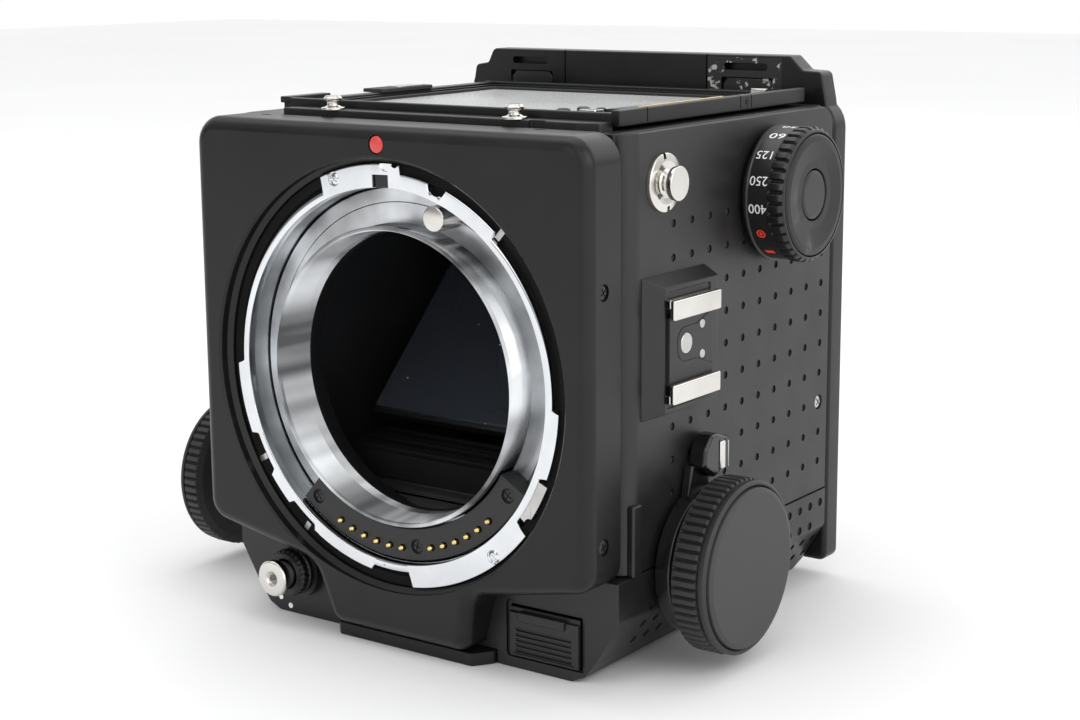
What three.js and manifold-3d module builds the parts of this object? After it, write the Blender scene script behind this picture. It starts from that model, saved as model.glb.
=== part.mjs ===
// Modular 6x7 medium-format reflex camera body with rack-and-pinion bellows focusing.
// Units are millimetres. +Z is up, the lens side faces -Y, and the accessory shoe is on +X.
// The origin lies on the underside of the base, halfway along the body.
// Every piece is one closed solid in its own named mesh. Groups stand at the axes that pieces turn about.

import * as THREE from "three";
import { mergeVertices } from "three/addons/utils/BufferGeometryUtils.js";
import Module from "manifold-3d";

const wasm = await Module();
wasm.setup();

// ---------------------------------------------------------------- driving dimensions

const GAP = 0.3; // between pieces that touch
const THROUGH = 1; // how far a cutting solid runs past the face it cuts
const ROUND = 36; // segments of a large turned piece
const SMALL_ROUND = 16; // segments of a small turned piece

const BODY = { half: 52, front: -40.5, rear: 45.7, seam: 23.3, top: 113, cover: 2.7, edgeRadius: 4.8 };
const CHASSIS = { half: 49, wall: 2.5, front: -37.4, top: 111.2, chamberTop: 108.7 };
const WEB = { front: -33.2, rear: -31, half: 38, low: 31, high: 102.5 }; // plate behind the bellows
const FLOOR = { frontTop: 31.5, frontUnder: 30, step: -8, rearTop: 25.4 };
const GATE_HALF = 34.75; // half of the 69.5 mm film gate
const SCREEN_OPENING = { half: 39, front: -31, rear: 38 };

const AXIS_Z = 60.5; // height of the lens axis
const MOUNT = {
  face: -51.5, // front of the bright ring
  recess: 46.1,
  counterbore: 45.2,
  ringOuter: 44.5,
  channelOuter: 40,
  channelInner: 32,
  throat: 30.5,
  floor: -45,
  ledge: -49.2, // seat of the ring inside the panel
  postCircle: 36.7,
};

const PANEL = { half: 52, front: -54, back: -42.6, lowBack: -43.8, top: 113.5, low: 22.5, radius: 6 };
const TONGUE = { topHalf: 21.8, topZ: 17, lowHalf: 18.2, lowZ: 3.3, lowFace: -50.8 };
const STANDARD_BACK = -41.5; // rear of the frame that carries the bellows
const BELLOWS = { half: 45.5, low: 24.2, high: 108.4, front: -41.2, rear: -33.5 };

const BASE = { half: 52, front: -43.4, top: 23, shoulder: 14.2, plate: 2.9, recess: 3.2 };
const CHANNEL = { half: 18.6, floor: 4.6, rear: 40 };
const BATTERY_BAY = { x0: 24.9, x1: 43, z0: 2.7, z1: 13.9, rear: -14 };
const BATTERY = { x: 34, z: 8.2, radius: 5.2, front: -41.5, length: 25 };
const TRIPOD = { y: -12, outer: 8, bore: 4.4, height: 5.4 };

const FOCUS = { y: -15.3, z: 21.7, shaft: 3, bushBore: 3.08, bush: 7.2, bushInner: 46, travel: 46 };
const PINION = { teeth: 12, pitchRadius: 6, tip: 6.8, root: 4.9, x0: 9.7, x1: 15.3 };
const TOOTH = { atTip: 0.7, atRoot: 1.9, rackTip: 0.8, rackRoot: 1.05 };
const KNOB_RIGHT = { radius: 18.6, inner: 57.4, outer: 66.1, cap: 17.1, capOuter: 67 };
const KNOB_LEFT = { radius: 18.5, inner: 75.6, outer: 81.5, cap: 17, capOuter: 82.4 };
const LOCK_LEVER = { inner: 52.7, neck: 54.6, outer: 56.9, hub: 15.6, top: 27 };
const LEVER_TIP = { y0: 3.2, y1: 5.2, z0: 19.1, z1: 25.1, depth: 1.2 };

const DIAL = { y: 17.1, z: 96.1, radius: 14.6, inner: 52.4, skirt: 59, outer: 62.5, face: 13.1, button: 5.3 };
const LUG = { y: -27.5, z: 102.5, flange: 6, stud: 2.2, head: 3.5, outer: 56.2 };
const SHOE = { y0: -35.2, y1: -10.9, z0: 54.8, z1: 84, face: 55.5 };
const SHOE_RAMP = { front: 3.6, low: 1.3, top: 2.1 };
const SHOE_RAIL = { low: 58.3, high: 75.5, width: 4.2, lip: 2.2, lift: 1, top: 57, front: -32, rear: -13.7 };

const RELEASE = { x: -33.7, z: 11.2, face: -53.4, head: 4.07, stem: 3.1, bore: 3.4, collar: 5.4, boss: 6.4 };
const COCKING = { y: 14, z: 50, hub: 9, length: 42, angle: 60 };

const MIRROR = { hingeY: 36.5, hingeZ: 93, length: 72.5, half: 35.5, surface: 1.8, rest: 45 };
const SHIELD = { hingeY: 41.2, hingeZ: 88.8, length: 62, half: 36.5, thickness: 1.2 };

const FINDER = { outerHalf: 46, innerHalf: 38, front: -35, rear: 40, low: 113.6, top: 116.5, rail: 3.5 };
const SCREEN_FRONT = -29;
const PIN = { x: 24.2, y: -39.2, foot: 114.9 };

const ADAPTER = { half: 52, front: 46.3, rear: 53, low: 4.6, top: 114.5, ring: 48.8, ringDepth: 3.1 };
const ADAPTER_CORNER = { low: 2, top: 7 };
const RAIL = { left: -45, right: 42, top: 123.8, stepLeft: -50, stepRight: 48, stepTop: 121, rear: 52 };

// ---------------------------------------------------------------- materials

function material(colour, roughness, metalness) {
  return new THREE.MeshStandardMaterial({ color: colour, roughness, metalness });
}

const BLACK_PAINT = () => material(0x1b1c1e, 0.5, 0.1);
const BLACK_PLASTIC = () => material(0x151617, 0.6, 0);
const BLACK_RUBBER = () => material(0x1d1d1e, 0.8, 0);
const CHROME = () => material(0xe6e7ea, 0.12, 1);
const STEEL = () => material(0xb9bbbe, 0.3, 1);
const BRASS = () => material(0xd9a441, 0.3, 1);

// ---------------------------------------------------------------- solids and booleans

function solid(geometry) {
  const bare = geometry.index ? geometry.toNonIndexed() : geometry.clone();
  bare.deleteAttribute("normal");
  bare.deleteAttribute("uv");
  const merged = mergeVertices(bare, 1e-4);
  const triVerts = new Uint32Array(merged.index.array);
  const make = () =>
    new wasm.Manifold(
      new wasm.Mesh({ numProp: 3, vertProperties: merged.attributes.position.array, triVerts }),
    );
  const made = make();
  if (made.volume() >= 0) return made;
  for (let i = 0; i < triVerts.length; i += 3) {
    [triVerts[i + 1], triVerts[i + 2]] = [triVerts[i + 2], triVerts[i + 1]];
  }
  return make();
}

function geometryOf(shape) {
  const mesh = shape.getMesh();
  const positions = new Float32Array(mesh.numVert * 3);
  for (let i = 0; i < mesh.numVert; i++) {
    positions.set(mesh.vertProperties.subarray(i * mesh.numProp, i * mesh.numProp + 3), i * 3);
  }
  const geometry = new THREE.BufferGeometry();
  geometry.setAttribute("position", new THREE.BufferAttribute(positions, 3));
  geometry.setIndex(new THREE.BufferAttribute(new Uint32Array(mesh.triVerts), 1));
  geometry.computeVertexNormals();
  return geometry;
}

function box(x0, x1, y0, y1, z0, z1) {
  const geometry = new THREE.BoxGeometry(x1 - x0, y1 - y0, z1 - z0);
  geometry.translate((x0 + x1) / 2, (y0 + y1) / 2, (z0 + z1) / 2);
  return solid(geometry);
}

// A cylinder along Y between y0 and y1, centred on (x, z).
function cylinderY(radius, y0, y1, x = 0, z = 0, segments = ROUND) {
  const geometry = new THREE.CylinderGeometry(radius, radius, y1 - y0, segments);
  geometry.translate(x, (y0 + y1) / 2, z);
  return solid(geometry);
}

// A cylinder along X between x0 and x1, centred on (y, z).
function cylinderX(radius, x0, x1, y = 0, z = 0, segments = ROUND) {
  const geometry = new THREE.CylinderGeometry(radius, radius, x1 - x0, segments);
  geometry.rotateZ(Math.PI / 2);
  geometry.translate((x0 + x1) / 2, y, z);
  return solid(geometry);
}

// A cylinder along Z between z0 and z1, centred on (x, y).
function cylinderZ(radius, z0, z1, x = 0, y = 0, segments = SMALL_ROUND) {
  const geometry = new THREE.CylinderGeometry(radius, radius, z1 - z0, segments);
  geometry.rotateX(Math.PI / 2);
  geometry.translate(x, y, (z0 + z1) / 2);
  return solid(geometry);
}

// A solid turned about the Y axis from [radius, y] points.
function turnedY(points, segments = ROUND) {
  const closed = points.map(([radius, y]) => new THREE.Vector2(radius, y));
  if (points[0][0] > 0) closed.push(closed[0].clone());
  return solid(new THREE.LatheGeometry(closed, segments));
}

// The same about the X axis from [radius, x] points.
function turnedX(points, segments = ROUND) {
  const closed = points.map(([radius, x]) => new THREE.Vector2(radius, x));
  if (points[0][0] > 0) closed.push(closed[0].clone());
  return solid(new THREE.LatheGeometry(closed, segments).rotateZ(-Math.PI / 2));
}

// The same about the Z axis from [radius, z] points.
function turnedZ(points, segments = SMALL_ROUND) {
  const closed = points.map(([radius, z]) => new THREE.Vector2(radius, z));
  if (points[0][0] > 0) closed.push(closed[0].clone());
  return solid(new THREE.LatheGeometry(closed, segments).rotateX(Math.PI / 2));
}

function outline(points) {
  return new THREE.Shape(points.map(([a, b]) => new THREE.Vector2(a, b)));
}

// An outline in the XZ plane, drawn out from y0 to y1.
function drawnY(shape, y0, y1, curveSegments = 8) {
  const geometry = new THREE.ExtrudeGeometry(shape, { depth: y1 - y0, bevelEnabled: false, curveSegments });
  geometry.rotateX(Math.PI / 2);
  geometry.translate(0, y1, 0);
  return solid(geometry);
}

// An outline in the YZ plane, drawn out from x0 to x1.
function drawnX(shape, x0, x1, curveSegments = 8) {
  const geometry = new THREE.ExtrudeGeometry(shape, { depth: x1 - x0, bevelEnabled: false, curveSegments });
  geometry.rotateX(Math.PI / 2);
  geometry.rotateZ(Math.PI / 2);
  geometry.translate(x0, 0, 0);
  return solid(geometry);
}

// An outline in the XY plane, drawn out from z0 to z1.
function drawnZ(shape, z0, z1, curveSegments = 8) {
  const geometry = new THREE.ExtrudeGeometry(shape, { depth: z1 - z0, bevelEnabled: false, curveSegments });
  geometry.translate(0, 0, z0);
  return solid(geometry);
}

// Part of a ring about the Y axis. Angles are clockwise from the top, seen from the front.
function ringSector(inner, outer, y0, y1, from, to, segments = 24) {
  const points = [];
  for (let i = 0; i <= segments; i++) {
    const angle = THREE.MathUtils.degToRad(from + ((to - from) * i) / segments);
    points.push([outer * Math.sin(angle), outer * Math.cos(angle)]);
  }
  for (let i = segments; i >= 0; i--) {
    const angle = THREE.MathUtils.degToRad(from + ((to - from) * i) / segments);
    points.push([inner * Math.sin(angle), inner * Math.cos(angle)]);
  }
  return drawnY(outline(points), y0, y1);
}

const camera = new THREE.Group();
camera.name = "medium_format_camera_body";

function group(parent, x = 0, y = 0, z = 0) {
  const made = new THREE.Group();
  made.position.set(x, y, z);
  parent.add(made);
  return made;
}

function piece(parent, name, shape, look) {
  const mesh = new THREE.Mesh(geometryOf(shape), look());
  mesh.name = name;
  parent.add(mesh);
  return mesh;
}

// ---------------------------------------------------------------- chassis and casing

function chassis() {
  const { half, wall, front, top, chamberTop } = CHASSIS;
  const inner = half - wall;
  const rearInner = BODY.rear - wall;
  let shape = box(-half, half, front, BODY.rear, BODY.seam, top);
  shape = shape.subtract(box(-inner, inner, WEB.rear, FLOOR.step, FLOOR.frontTop, chamberTop));
  shape = shape.subtract(box(-inner, inner, FLOOR.step - 0.01, rearInner, FLOOR.rearTop, chamberTop));
  shape = shape.subtract(box(-inner, inner, front - THROUGH, WEB.front, BODY.seam - THROUGH, chamberTop));
  shape = shape.subtract(
    box(-WEB.half, WEB.half, WEB.front - THROUGH, WEB.rear + THROUGH, WEB.low, WEB.high),
  );
  shape = shape.subtract(
    box(-inner, inner, front - THROUGH, FLOOR.step - wall, BODY.seam - THROUGH, FLOOR.frontUnder),
  );
  shape = shape.subtract(
    box(
      -SCREEN_OPENING.half,
      SCREEN_OPENING.half,
      SCREEN_OPENING.front,
      SCREEN_OPENING.rear,
      chamberTop - THROUGH,
      top + THROUGH,
    ),
  );
  shape = shape.subtract(
    box(
      -GATE_HALF,
      GATE_HALF,
      rearInner - THROUGH,
      BODY.rear + THROUGH,
      AXIS_Z - GATE_HALF,
      AXIS_Z + GATE_HALF,
    ),
  );
  const bushHole = FOCUS.bush + GAP;
  return shape.subtract(cylinderX(bushHole, -half - THROUGH, half + THROUGH, FOCUS.y, FOCUS.z));
}

// Side cover section seen from above: a flat plate whose front edge is rolled inwards.
function sideCover(side) {
  const inner = BODY.half - BODY.cover;
  const returnEnd = inner - CHASSIS.wall;
  const returnBack = CHASSIS.front - 0.4; // clear of the chassis wall
  const section = new THREE.Shape();
  section.moveTo(inner, BODY.rear);
  section.lineTo(inner, returnBack);
  section.lineTo(returnEnd, returnBack);
  section.lineTo(returnEnd, BODY.front);
  section.lineTo(BODY.half - BODY.edgeRadius, BODY.front);
  section.absarc(
    BODY.half - BODY.edgeRadius,
    BODY.front + BODY.edgeRadius,
    BODY.edgeRadius,
    -Math.PI / 2,
    0,
    false,
  );
  section.lineTo(BODY.half, BODY.rear);
  let shape = drawnZ(section, BODY.seam, BODY.top, 6);
  if (side < 0) shape = shape.mirror([1, 0, 0]);
  const reach = side * (BODY.half + THROUGH);
  return shape.subtract(
    cylinderX(FOCUS.bush + GAP, Math.min(0, reach), Math.max(0, reach), FOCUS.y, FOCUS.z),
  );
}

function topPlate() {
  const low = CHASSIS.top + GAP;
  const half = BODY.half - BODY.cover - GAP;
  const plate = box(-half, half, BODY.front, BODY.rear, low, BODY.top);
  const lipHalf = half - CHASSIS.wall;
  const lip = box(-lipHalf, lipHalf, BODY.front, CHASSIS.front - 0.4, CHASSIS.chamberTop + 0.7, low + 0.1);
  const opening = box(
    -SCREEN_OPENING.half,
    SCREEN_OPENING.half,
    SCREEN_OPENING.front,
    SCREEN_OPENING.rear,
    low - THROUGH,
    BODY.top + THROUGH,
  );
  const shape = plate.add(lip).subtract(opening);
  // the front corners give way to the rolled edges of the side covers
  const corner = box(
    lipHalf,
    half + THROUGH,
    BODY.front - THROUGH,
    CHASSIS.front,
    low - THROUGH,
    BODY.top + THROUGH,
  );
  return shape.subtract(corner).subtract(corner.mirror([1, 0, 0]));
}

function baseHousing() {
  const { half, front, top, shoulder, recess } = BASE;
  const right = [
    [half, top],
    [half, shoulder],
    [46.2, 4.6],
    [43.6, 1.4],
    [40.5, 0],
  ];
  const left = right.map(([x, z]) => [-x, z]).reverse();
  let shape = drawnY(outline([...right, ...left]), front, BODY.rear);
  const { x: releaseX, z: releaseZ, boss } = RELEASE;
  shape = shape.add(cylinderY(boss, front - 1.9, front + THROUGH, releaseX, releaseZ, SMALL_ROUND));
  // room for the base plate and its lip
  shape = shape.subtract(box(-39.5, 39.5, -40.4, 43, -THROUGH, recess));
  shape = shape.subtract(box(-21.6, 21.6, front - THROUGH, -40, -THROUGH, recess));
  // the open channel that the focusing carriage slides in
  shape = shape.subtract(
    box(-CHANNEL.half, CHANNEL.half, front - THROUGH, CHANNEL.rear, CHANNEL.floor, top + THROUGH),
  );
  // hollows either side of it, open underneath
  shape = shape.subtract(box(-40, -21.2, -39, 42, 0, 20.5));
  shape = shape.subtract(box(21.2, 40, -8, 42, 0, 20.5));
  const { x0, x1, z0, z1, rear } = BATTERY_BAY;
  shape = shape.subtract(box(x0, x1, front - THROUGH, rear, z0, z1));
  shape = shape.subtract(cylinderY(RELEASE.bore, front - 3, -38, RELEASE.x, RELEASE.z, SMALL_ROUND));
  shape = shape.subtract(cylinderZ(TRIPOD.outer + 0.4, recess - 0.5, CHANNEL.floor + 0.5, 0, TRIPOD.y));
  // shaft passage, wider where the bushes sit
  shape = shape.subtract(cylinderX(FOCUS.shaft + 1, -half - THROUGH, half + THROUGH, FOCUS.y, FOCUS.z));
  const bushRoom = cylinderX(
    FOCUS.bush + GAP,
    FOCUS.bushInner - GAP,
    half + THROUGH,
    FOCUS.y,
    FOCUS.z,
  );
  return shape.subtract(bushRoom).subtract(bushRoom.mirror([1, 0, 0]));
}

function basePlate() {
  const points = [
    [39.2, 42.7],
    [39.2, -40.1],
    [21.3, -40.1],
    [21.3, -44.2],
    [18.3, -48.3],
  ];
  const mirrored = points.map(([x, y]) => [-x, y]).reverse();
  const plate = drawnZ(outline([...points, ...mirrored]), 0, BASE.plate);
  return plate.subtract(cylinderZ(TRIPOD.outer + GAP, -THROUGH, BASE.plate + THROUGH, 0, TRIPOD.y));
}

function tripodSocket() {
  const { outer, bore, height } = TRIPOD;
  return turnedZ([
    [bore, 0.2],
    [outer, 0.2],
    [outer, height - 1],
    [outer - 0.6, height],
    [bore, height],
  ]);
}

// A ribbed light trap on the chamber floor.
function lowerBaffle() {
  const floor = FLOOR.frontTop + GAP;
  const points = [
    [WEB.rear + 0.5, floor],
    [WEB.rear + 0.5, floor + 5.8],
    [WEB.rear + 1.7, floor + 5.8],
  ];
  const ribs = 4;
  const pitch = 4.2;
  for (let i = 0; i < ribs; i++) {
    const y = WEB.rear + 1.7 + i * pitch;
    points.push([y + 0.2, floor + 1.2]);
    points.push([y + pitch - 1, floor + 3]);
  }
  points.push([WEB.rear + 1.7 + ribs * pitch, floor]);
  return drawnX(outline(points), -33, 33);
}

const bodyGroup = group(camera);
piece(bodyGroup, "main_chassis", chassis(), BLACK_PAINT);
piece(bodyGroup, "side_cover_right", sideCover(1), BLACK_PAINT);
piece(bodyGroup, "side_cover_left", sideCover(-1), BLACK_PAINT);
piece(bodyGroup, "top_plate", topPlate(), BLACK_PAINT);
piece(bodyGroup, "base_housing", baseHousing(), BLACK_PLASTIC);
piece(bodyGroup, "base_plate", basePlate(), BLACK_PAINT);
piece(group(bodyGroup, 0, TRIPOD.y, 0), "tripod_socket", tripodSocket(), STEEL);
piece(bodyGroup, "lower_baffle", lowerBaffle(), BLACK_PLASTIC);

// ---------------------------------------------------------------- battery

piece(
  bodyGroup,
  "battery",
  cylinderY(
    BATTERY.radius,
    BATTERY.front,
    BATTERY.front + BATTERY.length,
    BATTERY.x,
    BATTERY.z,
    SMALL_ROUND,
  ),
  STEEL,
);

// The cover swings about its lower front edge; the group stands on that edge.
const COVER = { front: BASE.front - 0.8, thickness: 1.6 };
const coverGroup = group(bodyGroup, 0, COVER.front, BATTERY_BAY.z0 + GAP);
piece(
  coverGroup,
  "battery_cover",
  box(
    BATTERY_BAY.x0 + GAP,
    BATTERY_BAY.x1 - GAP,
    0,
    COVER.thickness,
    0,
    BATTERY_BAY.z1 - BATTERY_BAY.z0 - 2 * GAP,
  ),
  BLACK_PLASTIC,
);

// ---------------------------------------------------------------- strap lugs and winding cover

function strapLug(side) {
  const wallFace = BODY.half + GAP;
  const lug = turnedX([
    [0, wallFace],
    [LUG.flange, wallFace],
    [LUG.flange, wallFace + 1],
    [LUG.stud, wallFace + 1],
    [LUG.stud, LUG.outer - 1.5],
    [LUG.head, LUG.outer - 1.2],
    [LUG.head, LUG.outer],
    [0, LUG.outer],
  ], SMALL_ROUND);
  return side < 0 ? lug.mirror([1, 0, 0]) : lug;
}

const lugGroup = group(bodyGroup, 0, LUG.y, LUG.z);
piece(lugGroup, "strap_lug_right", strapLug(1), STEEL);
piece(lugGroup, "strap_lug_left", strapLug(-1), STEEL);

function windingCover() {
  const corner = 8;
  const cover = { y0: -28, y1: 40, z0: 24, z1: 78, outer: 60 };
  const section = new THREE.Shape();
  section.moveTo(cover.y0, cover.z0);
  section.lineTo(cover.y1, cover.z0);
  section.lineTo(cover.y1, cover.z1 - corner);
  section.absarc(cover.y1 - corner, cover.z1 - corner, corner, 0, Math.PI / 2, false);
  section.lineTo(cover.y0 + corner, cover.z1);
  section.absarc(cover.y0 + corner, cover.z1 - corner, corner, Math.PI / 2, Math.PI, false);
  const inset = 2;
  const shell = drawnX(section, -cover.outer, -BODY.half - GAP);
  const hollow = box(
    -cover.outer + inset,
    -BODY.half + THROUGH,
    cover.y0 + inset,
    cover.y1 - inset,
    cover.z0 + inset,
    cover.z1 - corner,
  );
  const bushHole = cylinderX(
    FOCUS.bush + GAP,
    -cover.outer - THROUGH,
    -BODY.half + THROUGH,
    FOCUS.y,
    FOCUS.z,
  );
  return shell.subtract(hollow).subtract(bushHole);
}

piece(bodyGroup, "winding_cover", windingCover(), BLACK_PLASTIC);

// ---------------------------------------------------------------- finder seat on top

function finderFrame() {
  const { outerHalf, innerHalf, front, rear, low, top, rail } = FINDER;
  const ring = box(-outerHalf, outerHalf, front, rear, low, top);
  const hole = box(-innerHalf, innerHalf, front + rail, rear - rail, low - THROUGH, top + THROUGH);
  const groove = box(40.2, 43.8, -18.3, 16.3, top - 0.6, top + THROUGH);
  return ring.subtract(hole).subtract(groove);
}

piece(bodyGroup, "finder_frame", finderFrame(), BLACK_PAINT);
piece(
  bodyGroup,
  "focusing_screen",
  box(
    -FINDER.innerHalf + 0.4,
    FINDER.innerHalf - 0.4,
    SCREEN_FRONT,
    FINDER.rear - FINDER.rail - 0.4,
    CHASSIS.top + 0.7,
    FINDER.low + 1,
  ),
  () => material(0xdfe6ea, 0.1, 0),
);
piece(bodyGroup, "finder_contact_strip", box(40.5, 43.5, -18, 16, FINDER.top - 0.3, FINDER.top + 0.2), BRASS);

for (const [name, side] of [
  ["finder_pin_right", 1],
  ["finder_pin_left", -1],
]) {
  const { foot } = PIN;
  const pin = turnedZ([
    [0, BODY.top + GAP],
    [1.3, BODY.top + GAP],
    [1.3, foot],
    [2.6, foot],
    [2.6, foot + 0.6],
    [1.3, foot + 0.9],
    [1.3, foot + 1.7],
    [2, foot + 2.1],
    [2, foot + 2.8],
    [0, foot + 2.9],
  ], 16);
  piece(group(bodyGroup, side * PIN.x, PIN.y, 0), name, pin, CHROME);
}

// ---------------------------------------------------------------- accessory shoe

function shoeBlock() {
  const { y0, y1, z0, z1, face } = SHOE;
  const wallFace = BODY.half + GAP;
  const seenFromAbove = outline([
    [wallFace, y0],
    [face, y0 + SHOE_RAMP.front],
    [face, y1],
    [wallFace, y1],
  ]);
  const seenFromFront = outline([
    [wallFace, z0],
    [face, z0 + SHOE_RAMP.low],
    [face, z1 - SHOE_RAMP.top],
    [wallFace, z1],
  ]);
  return drawnZ(seenFromAbove, z0, z1).intersect(drawnY(seenFromFront, y0 - THROUGH, y1 + THROUGH));
}

// One bright rail: a strip whose lip stands over the slot between the rails.
function shoeRail(low, lipIsLow) {
  const { face } = SHOE;
  const { width, lip, lift, top, front, rear } = SHOE_RAIL;
  const strip = box(face + GAP, top + lift, front, rear, low, low + width);
  const lipEdge = lipIsLow ? low - THROUGH : low + width - lip;
  const undercut = box(
    face,
    top + 0.2,
    front - THROUGH,
    rear + THROUGH,
    lipEdge,
    lipEdge + lip + THROUGH,
  );
  return strip.subtract(undercut);
}

piece(bodyGroup, "shoe_block", shoeBlock(), BLACK_PLASTIC);
piece(bodyGroup, "shoe_rail_upper", shoeRail(SHOE_RAIL.high, true), CHROME);
piece(bodyGroup, "shoe_rail_lower", shoeRail(SHOE_RAIL.low, false), CHROME);
piece(
  bodyGroup,
  "shoe_contact_plate",
  box(SHOE.face + GAP, SHOE.face + 0.9, SHOE_RAIL.front + 1, -15, 63, 75),
  BLACK_PLASTIC,
);

// ---------------------------------------------------------------- focusing shaft, pinions and knobs

function pinion() {
  const points = [];
  const step = (2 * Math.PI) / PINION.teeth;
  const corners = [
    [PINION.root, -TOOTH.atRoot / 2 / PINION.root],
    [PINION.tip, -TOOTH.atTip / 2 / PINION.tip],
    [PINION.tip, TOOTH.atTip / 2 / PINION.tip],
    [PINION.root, TOOTH.atRoot / 2 / PINION.root],
  ];
  for (let i = 0; i < PINION.teeth; i++) {
    const middle = -Math.PI / 2 + i * step;
    for (const [radius, offset] of corners) {
      points.push([radius * Math.cos(middle + offset), radius * Math.sin(middle + offset)]);
    }
  }
  const gear = drawnX(outline(points), PINION.x0, PINION.x1);
  const bore = cylinderX(FOCUS.shaft + GAP, PINION.x0 - THROUGH, PINION.x1 + THROUGH, 0, 0, SMALL_ROUND);
  return gear.subtract(bore);
}

// A knob seen from its own side: hub bore on the shaft, grip ring and a seat for the cap.
function knob({ radius, inner, outer, cap }) {
  return turnedX([
    [FOCUS.shaft + GAP, inner],
    [radius - 1.6, inner],
    [radius, inner + 1.2],
    [radius, outer - 0.8],
    [radius - 0.8, outer],
    [cap + GAP, outer],
    [cap + GAP, outer - 1.4],
    [FOCUS.shaft + GAP, outer - 1.4],
  ]);
}

function knobCap({ outer, cap, capOuter }) {
  return turnedX([
    [0, outer - 1.1],
    [cap, outer - 1.1],
    [cap, capOuter - 0.5],
    [cap - 0.6, capOuter],
    [0, capOuter],
  ]);
}

// A bush runs from inside the base to just short of its knob.
function shaftBush(outer) {
  return turnedX([
    [FOCUS.bushBore, FOCUS.bushInner],
    [FOCUS.bush, FOCUS.bushInner],
    [FOCUS.bush, outer],
    [FOCUS.bushBore, outer],
  ], 32);
}

const focusAxis = group(camera, 0, FOCUS.y, FOCUS.z);
piece(
  focusAxis,
  "focus_shaft",
  cylinderX(FOCUS.shaft, -KNOB_LEFT.outer + 1.8, KNOB_RIGHT.outer - 1.8, 0, 0, SMALL_ROUND),
  STEEL,
);
piece(focusAxis, "pinion_right", pinion(), STEEL);
piece(focusAxis, "pinion_left", pinion().mirror([1, 0, 0]), STEEL);
piece(focusAxis, "focus_knob_right", knob(KNOB_RIGHT), BLACK_RUBBER);
piece(focusAxis, "focus_knob_left", knob(KNOB_LEFT).mirror([1, 0, 0]), BLACK_RUBBER);
piece(focusAxis, "knob_cap_right", knobCap(KNOB_RIGHT), BLACK_PLASTIC);
piece(focusAxis, "knob_cap_left", knobCap(KNOB_LEFT).mirror([1, 0, 0]), BLACK_PLASTIC);
piece(focusAxis, "shaft_bush_right", shaftBush(KNOB_RIGHT.inner - 0.5), BLACK_PLASTIC);
piece(focusAxis, "shaft_bush_left", shaftBush(KNOB_LEFT.inner - 0.5).mirror([1, 0, 0]), BLACK_PLASTIC);

// Lock lever: a disc round the bush, a flat neck and a thick head with a groove for its bright tip.
function lockLever() {
  const { inner, neck, outer, hub, top } = LOCK_LEVER;
  const stem = outline([
    [-10, 10],
    [-5.6, 12.5],
    [-3.9, top - 6],
    [3, top - 7],
    [2.6, 17],
    [7, 12],
  ]);
  const head = outline([
    [-2.9, top - 6.5],
    [-2.2, top - 2.5],
    [0.2, top],
    [2.6, top],
    [7, top - 1.5],
    [7.3, top - 8.2],
    [1.5, top - 9.4],
  ]);
  const disc = cylinderX(hub, inner, outer - 0.3, 0, 0, 48);
  const bore = cylinderX(FOCUS.bush + GAP, inner - THROUGH, outer + THROUGH);
  const groove = box(
    outer - LEVER_TIP.depth,
    outer + THROUGH,
    LEVER_TIP.y0 - GAP,
    LEVER_TIP.y1 + GAP,
    LEVER_TIP.z0 - GAP,
    LEVER_TIP.z1 + GAP,
  );
  return disc
    .add(drawnX(stem, inner, neck))
    .add(drawnX(head, inner, outer))
    .subtract(bore)
    .subtract(groove);
}

piece(focusAxis, "focus_lock_lever", lockLever(), BLACK_PLASTIC);
piece(
  focusAxis,
  "lock_lever_tip",
  box(
    LOCK_LEVER.outer - LEVER_TIP.depth + GAP,
    LOCK_LEVER.outer + 0.2,
    LEVER_TIP.y0,
    LEVER_TIP.y1,
    LEVER_TIP.z0,
    LEVER_TIP.z1,
  ),
  CHROME,
);

// ---------------------------------------------------------------- shutter-speed dial

const dialAxis = group(camera, 0, DIAL.y, DIAL.z);
piece(
  dialAxis,
  "speed_dial",
  turnedX([
    [DIAL.button + 1.5, DIAL.inner],
    [DIAL.radius - 0.4, DIAL.inner],
    [DIAL.radius - 0.4, DIAL.skirt],
    [DIAL.radius, DIAL.skirt + 0.4],
    [DIAL.radius, DIAL.outer - 0.6],
    [DIAL.radius - 0.6, DIAL.outer],
    [DIAL.face + GAP, DIAL.outer],
    [DIAL.face + GAP, DIAL.outer - 1.3],
    [DIAL.button + 1.5, DIAL.outer - 1.3],
  ]),
  BLACK_PLASTIC,
);
piece(
  dialAxis,
  "dial_face",
  turnedX([
    [DIAL.button + GAP, DIAL.outer - 1],
    [DIAL.face, DIAL.outer - 1],
    [DIAL.face, DIAL.outer + 0.2],
    [DIAL.face - 0.5, DIAL.outer + 0.5],
    [DIAL.button + GAP, DIAL.outer + 0.5],
  ]),
  BLACK_PLASTIC,
);
piece(
  dialAxis,
  "dial_button",
  cylinderX(DIAL.button, DIAL.outer - 3.4, DIAL.outer + 0.4, 0, 0, 32),
  BLACK_PLASTIC,
);

// ---------------------------------------------------------------- shutter release

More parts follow.
